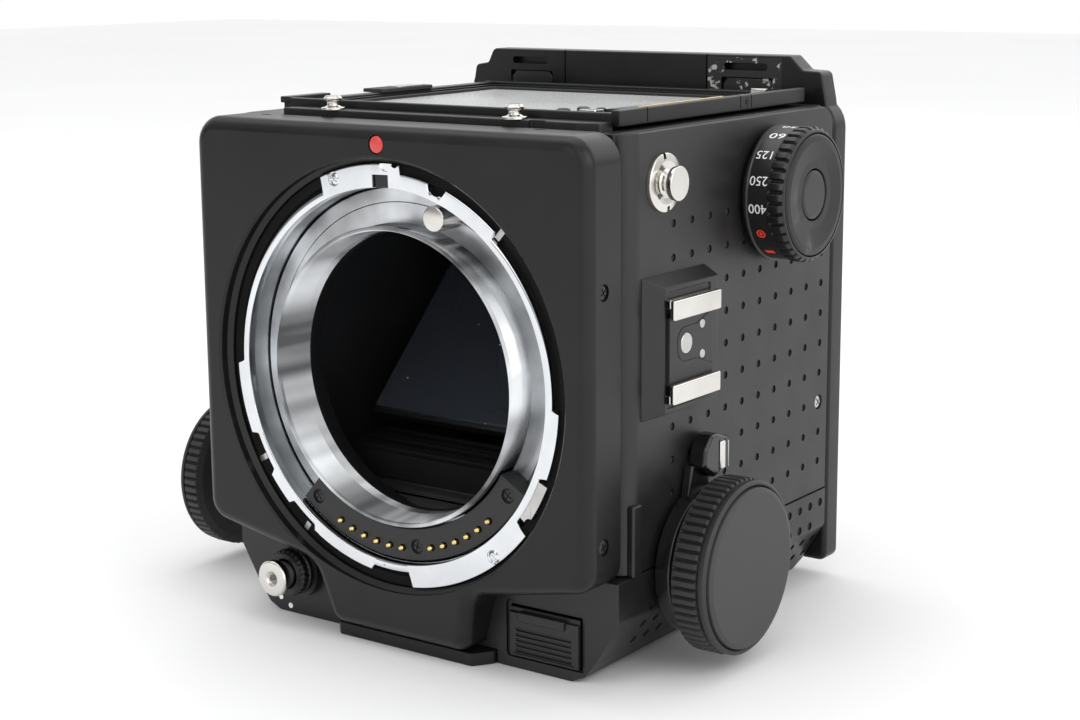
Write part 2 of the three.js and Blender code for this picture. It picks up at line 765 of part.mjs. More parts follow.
const releaseAxis = group(camera, RELEASE.x, 0, RELEASE.z);
piece(
  releaseAxis,
  "release_button",
  turnedY([
    [0, -36],
    [RELEASE.stem, -36],
    [RELEASE.stem, RELEASE.face + 2.2],
    [RELEASE.head, RELEASE.face + 1.8],
    [RELEASE.head, RELEASE.face + 0.4],
    [RELEASE.head - 0.4, RELEASE.face],
    [1.3, RELEASE.face],
    [0.9, RELEASE.face + 3],
    [0, RELEASE.face + 3],
  ], SMALL_ROUND),
  CHROME,
);
piece(
  releaseAxis,
  "release_lock_collar",
  turnedY([
    [RELEASE.bore, -49],
    [RELEASE.collar, -49],
    [RELEASE.collar, -45.6],
    [RELEASE.bore, -45.6],
  ], SMALL_ROUND),
  BLACK_PLASTIC,
);

// ---------------------------------------------------------------- cocking lever on the hidden side

function cockingLever() {
  const { hub, length } = COCKING;
  const arm = outline([
    [0, -6],
    [length - 4, -4],
    [length, -1],
    [length, 3],
    [length - 4, 5],
    [0, 7],
  ]);
  return cylinderX(hub, -66, -60.4, 0, 0, 32).add(drawnX(arm, -65.5, -62));
}

const cockingAxis = group(camera, 0, COCKING.y, COCKING.z);
const leverRest = group(cockingAxis);
leverRest.rotation.x = THREE.MathUtils.degToRad(COCKING.angle);
piece(leverRest, "cocking_lever", cockingLever(), BLACK_PAINT);
piece(
  leverRest,
  "cocking_lever_pad",
  box(-71, -65.8, COCKING.length - 11, COCKING.length - 1, -3, 4),
  BLACK_RUBBER,
);

// ---------------------------------------------------------------- front standard

function panelOutline() {
  const { half, top, low, radius } = PANEL;
  const lowRadius = radius - 1;
  const shape = new THREE.Shape();
  shape.moveTo(-half + radius, top);
  shape.lineTo(half - radius, top);
  shape.absarc(half - radius, top - radius, radius, Math.PI / 2, 0, true);
  shape.lineTo(half, low + lowRadius);
  shape.absarc(half - lowRadius, low + lowRadius, lowRadius, 0, -Math.PI / 2, true);
  shape.lineTo(TONGUE.topHalf, TONGUE.topZ);
  shape.lineTo(TONGUE.lowHalf, TONGUE.lowZ);
  shape.lineTo(-TONGUE.lowHalf, TONGUE.lowZ);
  shape.lineTo(-TONGUE.topHalf, TONGUE.topZ);
  shape.lineTo(-half + lowRadius, low);
  shape.absarc(-half + lowRadius, low + lowRadius, lowRadius, -Math.PI / 2, -Math.PI, true);
  shape.lineTo(-half, top - radius);
  shape.absarc(-half + radius, top - radius, radius, Math.PI, Math.PI / 2, true);
  return shape;
}

function frontPanel() {
  const { front, back, lowBack } = PANEL;
  const side = PANEL.half + THROUGH;
  let shape = drawnY(panelOutline(), front, back, 5);
  // behind the lower part stands the base, so it is thinner there
  shape = shape.subtract(box(-side, side, lowBack, back + THROUGH, 0, BASE.top + 0.5));
  // the tongue's face leans back towards the bottom
  const wedge = outline([
    [front - THROUGH, PANEL.low + 0.5],
    [front, PANEL.low + 0.5],
    [TONGUE.lowFace, TONGUE.lowZ],
    [TONGUE.lowFace + 0.5, 0],
    [front - THROUGH, 0],
  ]);
  shape = shape.subtract(drawnX(wedge, -side, side));
  // hollow behind the face, with a round boss left for the mount
  const { ledge } = MOUNT;
  const hollow = box(-48.5, 48.5, ledge - 0.6, back + THROUGH, 27, 110);
  shape = shape.subtract(hollow.subtract(cylinderY(44, ledge - THROUGH, back + THROUGH, 0, AXIS_Z)));
  const bore = turnedY([
    [0, front - THROUGH],
    [MOUNT.recess, front - THROUGH],
    [MOUNT.recess, front + 0.4],
    [MOUNT.counterbore, MOUNT.face],
    [MOUNT.counterbore, ledge],
    [MOUNT.channelOuter + 1.5, ledge],
    [MOUNT.channelOuter + 1.5, back + THROUGH],
    [0, back + THROUGH],
  ]).translate([0, 0, AXIS_Z]);
  shape = shape.subtract(bore);
  return shape.subtract(cylinderY(2, front - THROUGH, front + 1, 0, 109.6, 16));
}

const standard = group(camera);
piece(standard, "front_panel", frontPanel(), BLACK_PAINT);
piece(
  standard,
  "index_dot",
  cylinderY(1.7, PANEL.front, PANEL.front + 0.7, 0, 109.6, 16),
  () => material(0xc0282a, 0.5, 0),
);

const mount = group(standard, 0, 0, AXIS_Z);

// Bright ring with bayonet notches cut in its edge at these clock angles.
function mountFlange() {
  const back = MOUNT.face + 2;
  let ring = turnedY([
    [MOUNT.channelOuter, MOUNT.face],
    [MOUNT.ringOuter, MOUNT.face],
    [MOUNT.ringOuter, back],
    [MOUNT.channelOuter, back],
  ]);
  for (const angle of [28, 52, 133, -118]) {
    const turn = THREE.MathUtils.degToRad(angle);
    const radius = MOUNT.ringOuter + 0.6;
    ring = ring.subtract(
      cylinderY(
        2.6,
        MOUNT.face - THROUGH,
        back + THROUGH,
        radius * Math.sin(turn),
        radius * Math.cos(turn),
        16,
      ),
    );
  }
  return ring;
}

piece(mount, "mount_flange", mountFlange(), CHROME);
piece(
  mount,
  "mount_barrel",
  turnedY([
    [MOUNT.channelOuter, MOUNT.ledge],
    [MOUNT.channelOuter + 1.2, MOUNT.ledge],
    [MOUNT.channelOuter + 1.2, -42.1],
    [MOUNT.channelInner + GAP, -42.1],
    [MOUNT.channelInner + GAP, -43.3],
    [MOUNT.channelOuter, -43.3],
  ]),
  CHROME,
);
piece(
  mount,
  "throat_tube",
  turnedY([
    [MOUNT.throat + 0.8, MOUNT.face],
    [MOUNT.channelInner, MOUNT.face],
    [MOUNT.channelInner, -41.7],
    [MOUNT.throat, -41.7],
  ]),
  CHROME,
);

// Contact block: a black arc low in the channel with a row of sprung pins either side of its screw.
const CONTACTS = { middle: 171.1, halfSpan: 50, face: -50, back: -45.4, pinTip: -50.9, perSide: 6 };

function pinAngles() {
  const first = 6.2;
  const pitch = 5.45;
  const angles = [];
  for (let i = 0; i < CONTACTS.perSide; i++) {
    angles.push(CONTACTS.middle + first + i * pitch);
    angles.push(CONTACTS.middle - first - i * pitch);
  }
  return angles.map((angle) => THREE.MathUtils.degToRad(angle));
}

function contactBlock() {
  const { middle, halfSpan, face, back } = CONTACTS;
  const inner = MOUNT.channelInner + 0.5;
  const outer = MOUNT.channelOuter - 0.5;
  let block = ringSector(inner, outer, face, back, middle - halfSpan, middle + halfSpan);
  // a slot behind the face holds the carrier of the pins
  block = block.subtract(
    ringSector(inner + 2, outer - 1.6, back - 1.9, back + THROUGH, middle - 38, middle + 38, 16),
  );
  for (const angle of pinAngles()) {
    block = block.subtract(
      cylinderY(
        0.9,
        face - THROUGH,
        back,
        MOUNT.postCircle * Math.sin(angle),
        MOUNT.postCircle * Math.cos(angle),
        8,
      ),
    );
  }
  return block;
}

function contactPins() {
  const { middle, back, pinTip } = CONTACTS;
  const inner = MOUNT.channelInner + 0.5;
  const outer = MOUNT.channelOuter - 0.5;
  let pins = ringSector(inner + 2.4, outer - 2, back - 1.5, back - 0.2, middle - 37, middle + 37, 16);
  for (const angle of pinAngles()) {
    pins = pins.add(
      cylinderY(
        0.55,
        pinTip,
        back - 1,
        MOUNT.postCircle * Math.sin(angle),
        MOUNT.postCircle * Math.cos(angle),
        8,
      ),
    );
  }
  return pins;
}

piece(mount, "contact_block", contactBlock(), BLACK_PLASTIC);
piece(mount, "contact_pins", contactPins(), BRASS);

// The floor of the channel turns, and its post cocks the lens.
const postTurn = THREE.MathUtils.degToRad(19.9);
const postX = MOUNT.postCircle * Math.sin(postTurn);
const postZ = MOUNT.postCircle * Math.cos(postTurn);
piece(
  mount,
  "cocking_ring",
  turnedY([
    [MOUNT.channelInner + 0.4, MOUNT.floor],
    [MOUNT.channelOuter - 0.4, MOUNT.floor],
    [MOUNT.channelOuter - 0.4, MOUNT.floor + 1.4],
    [MOUNT.channelInner + 0.4, MOUNT.floor + 1.4],
  ]),
  CHROME,
);
piece(
  mount,
  "cocking_pin",
  cylinderY(2.65, MOUNT.face, MOUNT.floor - GAP, postX, postZ, SMALL_ROUND),
  STEEL,
);

// ---------------------------------------------------------------- focusing carriage and racks

function focusCarriage() {
  const half = CHANNEL.half - 1;
  const bed = box(-half, half, -43.1, 36.4, CHANNEL.floor + 1.4, 12.5);
  return bed.add(box(-half, half, -43.1, -40.6, CHANNEL.floor + 1.4, 18.9));
}

// Rack teeth point up and mesh with the pinion above; a gap stands under the pinion's axis at rest.
function rack() {
  const pitch = (2 * Math.PI * PINION.pitchRadius) / PINION.teeth;
  const pitchLine = FOCUS.z - PINION.pitchRadius;
  const rootZ = pitchLine - TOOTH.rackRoot;
  const tipZ = pitchLine + TOOTH.rackTip;
  const before = 2;
  const after = Math.ceil(FOCUS.travel / pitch) + 1;
  const lowZ = 12.8;
  const points = [[FOCUS.y - before * pitch, lowZ]];
  for (let i = -before; i < after; i++) {
    const middle = FOCUS.y + (i + 0.5) * pitch;
    points.push([middle - TOOTH.atRoot / 2, rootZ]);
    points.push([middle - TOOTH.atTip / 2, tipZ]);
    points.push([middle + TOOTH.atTip / 2, tipZ]);
    points.push([middle + TOOTH.atRoot / 2, rootZ]);
  }
  points.push([FOCUS.y + after * pitch, lowZ]);
  return drawnX(outline(points), PINION.x0, PINION.x1);
}

piece(standard, "focus_carriage", focusCarriage(), STEEL);
piece(standard, "focus_rack_right", rack(), STEEL);
piece(standard, "focus_rack_left", rack().mirror([1, 0, 0]), STEEL);

// ---------------------------------------------------------------- bellows

function bellowsFrame() {
  const plate = box(-47.5, 47.5, STANDARD_BACK - 0.8, STANDARD_BACK, 24.2, 110);
  const hole = cylinderY(MOUNT.channelOuter + 1.6, PANEL.back - THROUGH, 0, 0, AXIS_Z);
  return plate.subtract(hole);
}

function bellows() {
  const { half, low, high, front, rear } = BELLOWS;
  const outer = box(-half, half, front, rear, low, high);
  return outer.subtract(
    box(-WEB.half, WEB.half, front - THROUGH, rear + THROUGH, WEB.low, WEB.high),
  );
}

piece(standard, "bellows_front_frame", bellowsFrame(), BLACK_PAINT);
piece(bodyGroup, "bellows", bellows(), BLACK_RUBBER);

// ---------------------------------------------------------------- mirror and rear shield

// Drawn level, as when it is up, and hung at rest at 45 degrees under its hinge.
const mirrorHinge = group(camera, 0, MIRROR.hingeY, MIRROR.hingeZ);
const mirrorRest = group(mirrorHinge);
mirrorRest.rotation.x = THREE.MathUtils.degToRad(MIRROR.rest);

function mirrorFrame() {
  const { half, length, surface } = MIRROR;
  const plate = box(-half, half, -length, -1, -1.9, surface - 1.6);
  return plate.add(cylinderX(1.8, -half - 2, half + 2, 0, 0, 16));
}

piece(mirrorRest, "mirror_frame", mirrorFrame(), BLACK_PAINT);
piece(
  mirrorRest,
  "mirror_glass",
  box(
    -MIRROR.half + 1,
    MIRROR.half - 1,
    -MIRROR.length + 1,
    -3.5,
    MIRROR.surface - 1.3,
    MIRROR.surface,
  ),
  () => material(0x8fa0b8, 0.02, 1),
);

const shieldHinge = group(camera, 0, SHIELD.hingeY, SHIELD.hingeZ);
piece(
  shieldHinge,
  "rear_shield_door",
  box(-SHIELD.half, SHIELD.half, -SHIELD.thickness / 2, SHIELD.thickness / 2, -SHIELD.length, 0).add(
    cylinderX(1.2, -SHIELD.half - 2, SHIELD.half + 2, 0, 0, 16),
  ),
  BLACK_PAINT,
);

// ---------------------------------------------------------------- revolving adapter for the film holder

const turntable = group(camera, 0, 0, AXIS_Z);
piece(
  turntable,
  "adapter_bearing_ring",
  turnedY([
    [ADAPTER.ring - 3.4, BODY.rear + GAP],
    [ADAPTER.ring - 0.4, BODY.rear + GAP],
    [ADAPTER.ring - 0.4, ADAPTER.front + 2.7],
    [ADAPTER.ring - 3.4, ADAPTER.front + 2.7],
  ]),
  STEEL,
);

function adapterPlate() {
  const { half, front, rear, low, top, ring, ringDepth } = ADAPTER;
  const foot = ADAPTER_CORNER.low;
  const head = ADAPTER_CORNER.top;
  const plate = new THREE.Shape();
  plate.moveTo(-half + foot, low);
  plate.lineTo(half - foot, low);
  plate.absarc(half - foot, low + foot, foot, -Math.PI / 2, 0, false);
  plate.lineTo(half, top - head);
  plate.absarc(half - head, top - head, head, 0, Math.PI / 2, false);
  plate.lineTo(-half + head, top);
  plate.absarc(-half + head, top - head, head, Math.PI / 2, Math.PI, false);
  plate.lineTo(-half, low + foot);
  plate.absarc(-half + foot, low + foot, foot, Math.PI, 1.5 * Math.PI, false);
  let shape = drawnY(plate, front, rear, 4);
  // raised rail along the top edge, with stepped ends
  shape = shape.add(box(RAIL.left, RAIL.right, front, RAIL.rear, top - 2, RAIL.top));
  shape = shape.add(box(RAIL.stepLeft, RAIL.stepRight, front, RAIL.rear - 2, top - 2, RAIL.stepTop));
  shape = shape.subtract(cylinderY(ring, front - THROUGH, front + ringDepth, 0, AXIS_Z));
  shape = shape.subtract(
    box(
      -GATE_HALF - 1.5,
      GATE_HALF + 1.5,
      front - THROUGH,
      rear + THROUGH,
      AXIS_Z - GATE_HALF - 1.5,
      AXIS_Z + GATE_HALF + 1.5,
    ),
  );
  // two receiving slots in front, and the groove of the latch bar behind
  for (const side of [-1, 1]) {
    const x0 = Math.min(side * 28, side * 37);
    shape = shape.subtract(box(x0, x0 + 9, front - THROUGH, 51, 119.4, 121.8));
  }
  return shape.subtract(box(-41, 41, 49.2, rear + THROUGH, 118.6, 122.1));
}

const adapter = group(camera);
piece(adapter, "revolving_adapter", adapterPlate(), BLACK_PAINT);
piece(adapter, "holder_latch_bar", box(-40.4, 37.4, 49.6, 51.4, 119, 121.7), STEEL);

export default camera;
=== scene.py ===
"""Looks of a modular 6x7 reflex camera body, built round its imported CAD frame.

Lengths here are millimetres in the row frame; finished meshes are scaled to metres.
+Z is up, the lens side faces -Y, and the accessory shoe and speed dial are on +X.
"""

import math

import bmesh
import bpy
from mathutils import Matrix, Vector


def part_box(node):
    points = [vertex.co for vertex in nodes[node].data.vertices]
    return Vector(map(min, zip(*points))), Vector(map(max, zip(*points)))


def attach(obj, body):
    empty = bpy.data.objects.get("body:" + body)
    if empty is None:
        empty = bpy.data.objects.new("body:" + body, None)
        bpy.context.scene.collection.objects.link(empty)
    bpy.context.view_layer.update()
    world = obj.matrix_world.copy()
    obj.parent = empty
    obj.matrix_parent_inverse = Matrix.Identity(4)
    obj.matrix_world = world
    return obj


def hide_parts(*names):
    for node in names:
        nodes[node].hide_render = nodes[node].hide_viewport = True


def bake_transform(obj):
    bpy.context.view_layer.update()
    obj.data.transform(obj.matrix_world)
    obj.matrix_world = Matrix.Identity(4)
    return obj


MM = 0.001
SIDES = ((1, "right"), (-1, "left"))
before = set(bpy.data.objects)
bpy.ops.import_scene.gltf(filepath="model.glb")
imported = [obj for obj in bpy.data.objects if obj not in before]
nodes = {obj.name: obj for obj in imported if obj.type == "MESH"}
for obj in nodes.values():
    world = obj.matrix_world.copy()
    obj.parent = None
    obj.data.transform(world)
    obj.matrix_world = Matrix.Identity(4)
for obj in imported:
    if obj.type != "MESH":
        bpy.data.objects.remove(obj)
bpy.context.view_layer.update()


# ---------- measuring the frame


def box_mm(node):
    """Lowest and highest corner of a CAD node in millimetres."""
    low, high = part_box(node)
    return low / MM, high / MM


def centre_of(node):
    low, high = box_mm(node)
    return (low + high) / 2


# ---------- materials

DUST = (0.32, 0.32, 0.31)
TARNISH = (0.16, 0.15, 0.14)
PAINTED_DARK_REFLECTION = (0.02, 0.021, 0.023)  # the dark room, painted into the lens mount's metal as dark reflection streaks


class Nodes:
    """A node tree in the making; its patterns stay fixed to the object."""

    def __init__(self, tree):
        self.tree = tree
        self.link = tree.links.new
        self.place = self.add("TexCoord")

    def add(self, kind, **values):
        """A node whose inputs and settings are given by name."""
        node = self.tree.nodes.new("ShaderNode" + kind)
        for key, value in values.items():
            if key in node.inputs:
                node.inputs[key].default_value = value
            else:
                setattr(node, key, value)
        return node

    def noise(self, scale, detail=2.0, roughness=0.5):
        made = self.add("TexNoise", Scale=scale, Detail=detail, Roughness=roughness)
        self.link(self.place.outputs["Object"], made.inputs["Vector"])
        return made.outputs["Fac"]

    def spread(self, source, low, high, start=0.3, end=0.7):
        """Maps start to end of a value onto low to high."""
        limits = {"From Min": start, "From Max": end, "To Min": low, "To Max": high}
        made = self.add("MapRange", **limits)
        self.link(source, made.inputs["Value"])
        return made.outputs["Result"]

    def mixed(self, factor, first, second):
        """A colour mix; first and second are colours or sockets."""
        made = self.add("Mix", data_type="RGBA")
        self.link(factor, made.inputs["Factor"])
        for socket, value in ((made.inputs[6], first), (made.inputs[7], second)):
            if isinstance(value, tuple):
                socket.default_value = (*value, 1)
            else:
                self.link(value, socket)
        return made.outputs[2]

    def product(self, one, two):
        made = self.add("Math", operation="MULTIPLY")
        self.link(one, made.inputs[0])
        self.link(two, made.inputs[1])
        return made.outputs[0]

    def specks(self, cells, size, share):
        """A mask of small specks: a few cells of a Voronoi pattern, near their centres."""
        cell = self.add("TexVoronoi", Scale=cells)
        self.link(self.place.outputs["Object"], cell.inputs["Vector"])
        near = self.spread(cell.outputs["Distance"], 1, 0, size * 0.6, size)
        colour = self.add("SeparateColor")
        self.link(cell.outputs["Color"], colour.inputs[0])
        few = self.spread(colour.outputs[0], 1, 0, share * 0.98, share)
        return self.product(near, few)


class Finish(Nodes):
    """A material in the making, on a principled shader."""

    def __init__(self, name):
        self.material = bpy.data.materials.new(name)
        self.material.use_nodes = True
        super().__init__(self.material.node_tree)
        self.shader = self.tree.nodes["Principled BSDF"].inputs

    def relief(self, height, distance, strength=1.0):
        bump = self.add("Bump", Strength=strength, Distance=distance)
        self.link(height, bump.inputs["Height"])
        self.link(bump.outputs["Normal"], self.shader["Normal"])

    def uneven(self, broad, colour, change):
        """A colour that drifts, with a broad pattern, towards that colour changed."""
        return self.mixed(self.spread(broad, 0, 1), colour, tuple(change(c) for c in colour))

    def painted_reflection_streaks(self, tint, darkest):
        """Painted reflection: light and dark streaks of the room mixed into the colour, running along the
        lens axis; they change only across it.
        """
        across = self.add("VectorMath", operation="MULTIPLY")
        across.inputs[1].default_value = (1, 0, 1)
        self.link(self.place.outputs["Object"], across.inputs[0])
        pattern = self.add("TexNoise", Scale=42.0, Detail=3.0, Roughness=0.55)
        self.link(across.outputs["Vector"], pattern.inputs["Vector"])
        light = self.spread(pattern.outputs["Fac"], darkest, 1, 0.38, 0.6)
        return self.mixed(light, PAINTED_DARK_REFLECTION, tint)

    def done(self, tint, rough, **values):
        """Joins colour and roughness to the shader and sets its even values; _ stands for a space."""
        self.link(tint, self.shader["Base Color"])
        self.link(rough, self.shader["Roughness"])
        for key, value in values.items():
            self.shader[key.replace("_", " ")].default_value = value
        return self.material


def coated(name, colour, rough, grain=0.3, depth=0.02, mottle=0.18, dust=0.0, shine=0.5, coat=0.0):
    """Paint, plastic or rubber: fine grain in the relief, uneven gloss and faint dust.

    grain is the size of the finest relief and depth its height, in millimetres.
    """
    look = Finish(name)
    look.relief(look.noise(1 / (grain * MM), 3), depth * MM)
    broad = look.noise(60, 4, 0.6)
    tint = look.uneven(broad, colour, lambda c: min(1, c * 1.35 + 0.002))
    if dust:
        tint = look.mixed(look.specks(260, 0.055, dust), tint, DUST)
    rough = look.spread(broad, rough * (1 - mottle), rough * (1 + mottle))
    return look.done(tint, rough, Specular_IOR_Level=shine, Coat_Weight=coat, Coat_Roughness=0.25)


def plated(name, colour, rough, wear=0.0, brushed=0.0):
    """Bright metal: slightly uneven polish, fine hairlines and a few dull specks."""
    look = Finish(name)
    look.relief(look.noise(2500, 2), (0.002 + brushed) * MM, 0.35)
    broad = look.noise(90, 4, 0.6)
    tint = look.uneven(broad, colour, lambda c: c * 0.86)
    if wear:
        tint = look.mixed(look.specks(420, 0.09, wear), tint, TARNISH)
    return look.done(tint, look.spread(broad, rough * 0.7, rough * 1.5), Metallic=1.0)


def spun(name, colour, rough, grooves=0.9):
    """Metal finished on a lathe about the lens axis: its highlights run across the grooves."""
    look = Finish(name)
    broad = look.noise(70, 4, 0.6)
    # its colour carries mild painted reflection streaks of the dark room
    tint = look.painted_reflection_streaks(look.uneven(broad, colour, lambda c: c * 0.88), 0.42)
    tangent = look.add("Tangent", direction_type="RADIAL", axis="Y")
    look.link(tangent.outputs["Tangent"], look.shader["Tangent"])
    rough = look.spread(broad, rough * 0.8, rough * 1.25)
    return look.done(tint, rough, Metallic=1.0, Anisotropic=grooves)


def flared(name, colour, rough, slope):
    """Polished metal in fine rings about the lens axis, which lean forwards and catch the room."""
    look = Finish(name)
    broad = look.noise(60, 4, 0.6)
    # its colour carries strong painted reflection streaks of the dark room
    tint = look.painted_reflection_streaks(look.uneven(broad, colour, lambda c: c * 0.85), 0.08)
    parts = look.add("SeparateXYZ")
    look.link(look.place.outputs["Object"], parts.inputs[0])
    look.relief(parts.outputs["Y"], slope)
    return look.done(tint, look.spread(broad, rough * 0.7, rough * 1.4), Metallic=1.0)


def chipped_paint():
    """The body's paint with grey chips where edges have been rubbed."""
    look = Finish("chipped_paint")
    look.relief(look.noise(3300, 3), 0.02 * MM)
    mask = look.spread(look.noise(420, 5, 0.65), 0, 1, 0.60, 0.63)
    tint = look.mixed(mask, (0.012, 0.012, 0.013), (0.42, 0.41, 0.38))
    return look.done(tint, look.spread(mask, 0.42, 0.3, 0, 1))


def scuffed_plastic():
    """Smooth black plastic whose face carries a few pale rub marks."""
    look = Finish("scuffed_plastic")
    look.relief(look.noise(3000, 2), 0.01 * MM, 0.5)
    rub = look.spread(look.noise(160, 6, 0.7), 0, 1, 0.52, 0.66)
    where = look.spread(look.noise(55, 2), 0, 1, 0.55, 0.68)
    mask = look.product(rub, where)
    tint = look.mixed(mask, (0.008, 0.008, 0.0085), (0.13, 0.13, 0.125))
    return look.done(tint, look.spread(mask, 0.4, 0.62, 0, 1), Specular_IOR_Level=0.35)


def ground_glass():
    """The focusing screen: pale and finely ground."""
    look = Finish("ground_glass")
    tint = look.mixed(look.spread(look.noise(45, 3), 0, 1), (0.42, 0.43, 0.43), (0.52, 0.53, 0.53))
    rough = look.spread(look.noise(5200, 2), 0.22, 0.32)
    return look.done(tint, rough, IOR=1.5, Specular_IOR_Level=0.2)


def mirror_glass():
    """A front-silvered mirror with dust on it."""
    look = Finish("mirror_silver")
    dust = look.specks(330, 0.08, 0.3)
    look.link(look.spread(dust, 0.94, 0, 0, 1), look.shader["Metallic"])
    tint = look.mixed(dust, (0.60, 0.68, 0.82), (0.85, 0.88, 0.9))
    return look.done(tint, look.spread(dust, 0.03, 0.8, 0, 1))


def floor_paper():
    look = Finish("floor_paper")
    tint = look.mixed(look.spread(look.noise(3, 2), 0, 1), (0.90, 0.90, 0.905), (0.92, 0.92, 0.925))
    look.link(tint, look.shader["Base Color"])
    look.shader["Roughness"].default_value = 0.7
    look.shader["Specular IOR Level"].default_value = 0.2
    return look.material


PAINT = coated("satin_paint", (0.0050, 0.0051, 0.0057), 0.34, 0.28, 0.010, dust=0.10, shine=0.33)
COVER = coated("cover_finish", (0.0075, 0.0075, 0.0078), 0.42, 0.22, 0.014, dust=0.07)
PLASTIC = coated("black_plastic", (0.0075, 0.0075, 0.008), 0.4, 0.25, 0.010)
MATTE = coated("matte_black", (0.016, 0.016, 0.0165), 0.62, 0.18, 0.02)
DARK = coated("flocked_black", (0.003, 0.003, 0.0032), 0.8, 0.3, 0.05, shine=0.2)
RUBBER = coated("grip_rubber", (0.017, 0.017, 0.0175), 0.55, 0.2, 0.02)
GLOSS = coated("gloss_black", (0.006, 0.006, 0.0065), 0.22, 0.3, 0.006, shine=0.55)
CAP = coated("cap_disc", (0.03, 0.03, 0.031), 0.58, 0.16, 0.014, mottle=0.1)
SKIN = coated("bellows_skin", (0.012, 0.012, 0.0125), 0.6, 0.5, 0.06)
CHROME = plated("polished_chrome", (0.80, 0.82, 0.84), 0.07, wear=0.05)
SPUN = spun("spun_chrome", (0.84, 0.86, 0.88), 0.36)
FLARED = flared("polished_throat", (0.82, 0.84, 0.86), 0.16, 0.8)
NICKEL = plated("nickel_plate", (0.74, 0.72, 0.68), 0.16, wear=0.05)
STEEL = plated("turned_steel", (0.58, 0.57, 0.55), 0.28, brushed=0.004)
GOLD = plated("gold_plate", (0.86, 0.63, 0.25), 0.16)
ALLOY = plated("milled_alloy", (0.5, 0.5, 0.51), 0.34, brushed=0.006)
RED = coated("index_red", (0.52, 0.035, 0.03), 0.3, 0.4, 0.006, mottle=0.1, coat=0.5)
WHITE_INK = coated("white_ink", (0.8, 0.8, 0.78), 0.5, 0.2, 0.004, mottle=0.05)
RED_INK = coated("red_ink", (0.85, 0.05, 0.025), 0.5, 0.2, 0.004, mottle=0.05)
CHIPPED = chipped_paint()
SCUFFED = scuffed_plastic()
SCREEN = ground_glass()
MIRROR = mirror_glass()


# ---------- outlines


def rounded(points, steps=5):
    """A closed outline whose points may carry a corner radius as a third value."""
    out = []
    for i, point in enumerate(points):
        corner = Vector(point[:2])
        radius = point[2] if len(point) > 2 else 0
        if not radius:
            out.append(tuple(corner))
            continue
        before = (Vector(points[i - 1][:2]) - corner).normalized()
        after = (Vector(points[(i + 1) % len(points)][:2]) - corner).normalized()
        half = before.angle(after) / 2
        middle = corner + (before + after).normalized() * (radius / math.sin(half))
        start = corner + before * (radius / math.tan(half)) - middle
        end = corner + after * (radius / math.tan(half)) - middle
        turn = math.atan2(start.x * end.y - start.y * end.x, start.dot(end))
        for k in range(steps + 1):
            c, s = math.cos(turn * k / steps), math.sin(turn * k / steps)
            out.append((middle.x + start.x * c - start.y * s, middle.y + start.x * s + start.y * c))
    return out


def rectangle(x0, x1, y0, y1, radius=0):
    return rounded([(x0, y0, radius), (x1, y0, radius), (x1, y1, radius), (x0, y1, radius)])


def circle(a, b, radius, steps=32):
    turn = 2 * math.pi / steps
    return [(a + radius * math.cos(i * turn), b + radius * math.sin(i * turn)) for i in range(steps)]


def clock(radius, angle):
    """(x, z) of a point on a ring about the lens axis; angles are clockwise degrees from the top."""
    turn = math.radians(angle)
    return radius * math.sin(turn), AXIS_Z + radius * math.cos(turn)


# ---------- mesh building, in millimetres


def from_bmesh(name, bm):
    bmesh.ops.recalc_face_normals(bm, faces=bm.faces)
    mesh = bpy.data.meshes.new(name)
    bm.to_mesh(mesh)
    bm.free()
    made = bpy.data.objects.new(name, mesh)
    bpy.context.scene.collection.objects.link(made)
    return made


def place_point(axis, a, b, t):
    """(a, b) in the plane across the axis and t along it, as x, y, z."""
    return {"x": (t, a, b), "y": (a, t, b), "z": (a, b, t)}[axis]


def bevelled(bm, edges, width, segments):
    bmesh.ops.bevel(
        bm, geom=edges, offset=width, offset_type="OFFSET", segments=segments, profile=0.5, affect="EDGES",
        clamp_overlap=True,
    )


def prism(name, outline, axis, low, high, bevel=0.0, ends="both", segments=3):
    """An outline drawn out along an axis, with the rims of its ends rounded."""
    bm = bmesh.new()
    rings = []
    for t in (low, high):
        rings.append([bm.verts.new(place_point(axis, a, b, t)) for a, b in outline])
    caps = [bm.faces.new(rings[0]), bm.faces.new(rings[1])]
    for i in range(len(outline)):
        j = (i + 1) % len(outline)
        bm.faces.new((rings[0][i], rings[0][j], rings[1][j], rings[1][i]))
    bmesh.ops.recalc_face_normals(bm, faces=bm.faces)
    if bevel:
        chosen = {"both": caps, "low": caps[:1], "high": caps[1:]}[ends]
        edges = list({e for f in chosen for e in f.edges})
        bevelled(bm, edges, bevel, segments)
    return from_bmesh(name, bm)


def block(name, x0, x1, y0, y1, z0, z1, bevel=0.0, segments=3):
    """A box with every edge rounded."""
    bm = bmesh.new()
    bmesh.ops.create_cube(bm, size=1)
    middle = Vector(((x0 + x1) / 2, (y0 + y1) / 2, (z0 + z1) / 2))
    for v in bm.verts:
        v.co = middle + Vector((v.co.x * (x1 - x0), v.co.y * (y1 - y0), v.co.z * (z1 - z0)))
    if bevel:
        bevelled(bm, list(bm.edges), bevel, segments)
    return from_bmesh(name, bm)


def swept(name, section, axis, centre, steps):
    """A ring-like solid: section(turn) gives a closed list of (radius, along) at each turn in radians."""
    bm = bmesh.new()
    rings = []
    for i in range(steps):
        turn = 2 * math.pi * i / steps
        c, s = math.cos(turn), math.sin(turn)
        ring = []
        for radius, along in section(turn):
            a, b = centre[0] + radius * c, centre[1] + radius * s
            ring.append(bm.verts.new(place_point(axis, a, b, along)))
        rings.append(ring)
    count = len(rings[0])
    for i in range(steps):
        one, two = rings[i], rings[(i + 1) % steps]
        for k in range(count):
            m = (k + 1) % count
            bm.faces.new((one[k], one[m], two[m], two[k]))
    bmesh.ops.remove_doubles(bm, verts=bm.verts, dist=1e-5)
    bmesh.ops.dissolve_degenerate(bm, dist=1e-6, edges=bm.edges)
    return from_bmesh(name, bm)


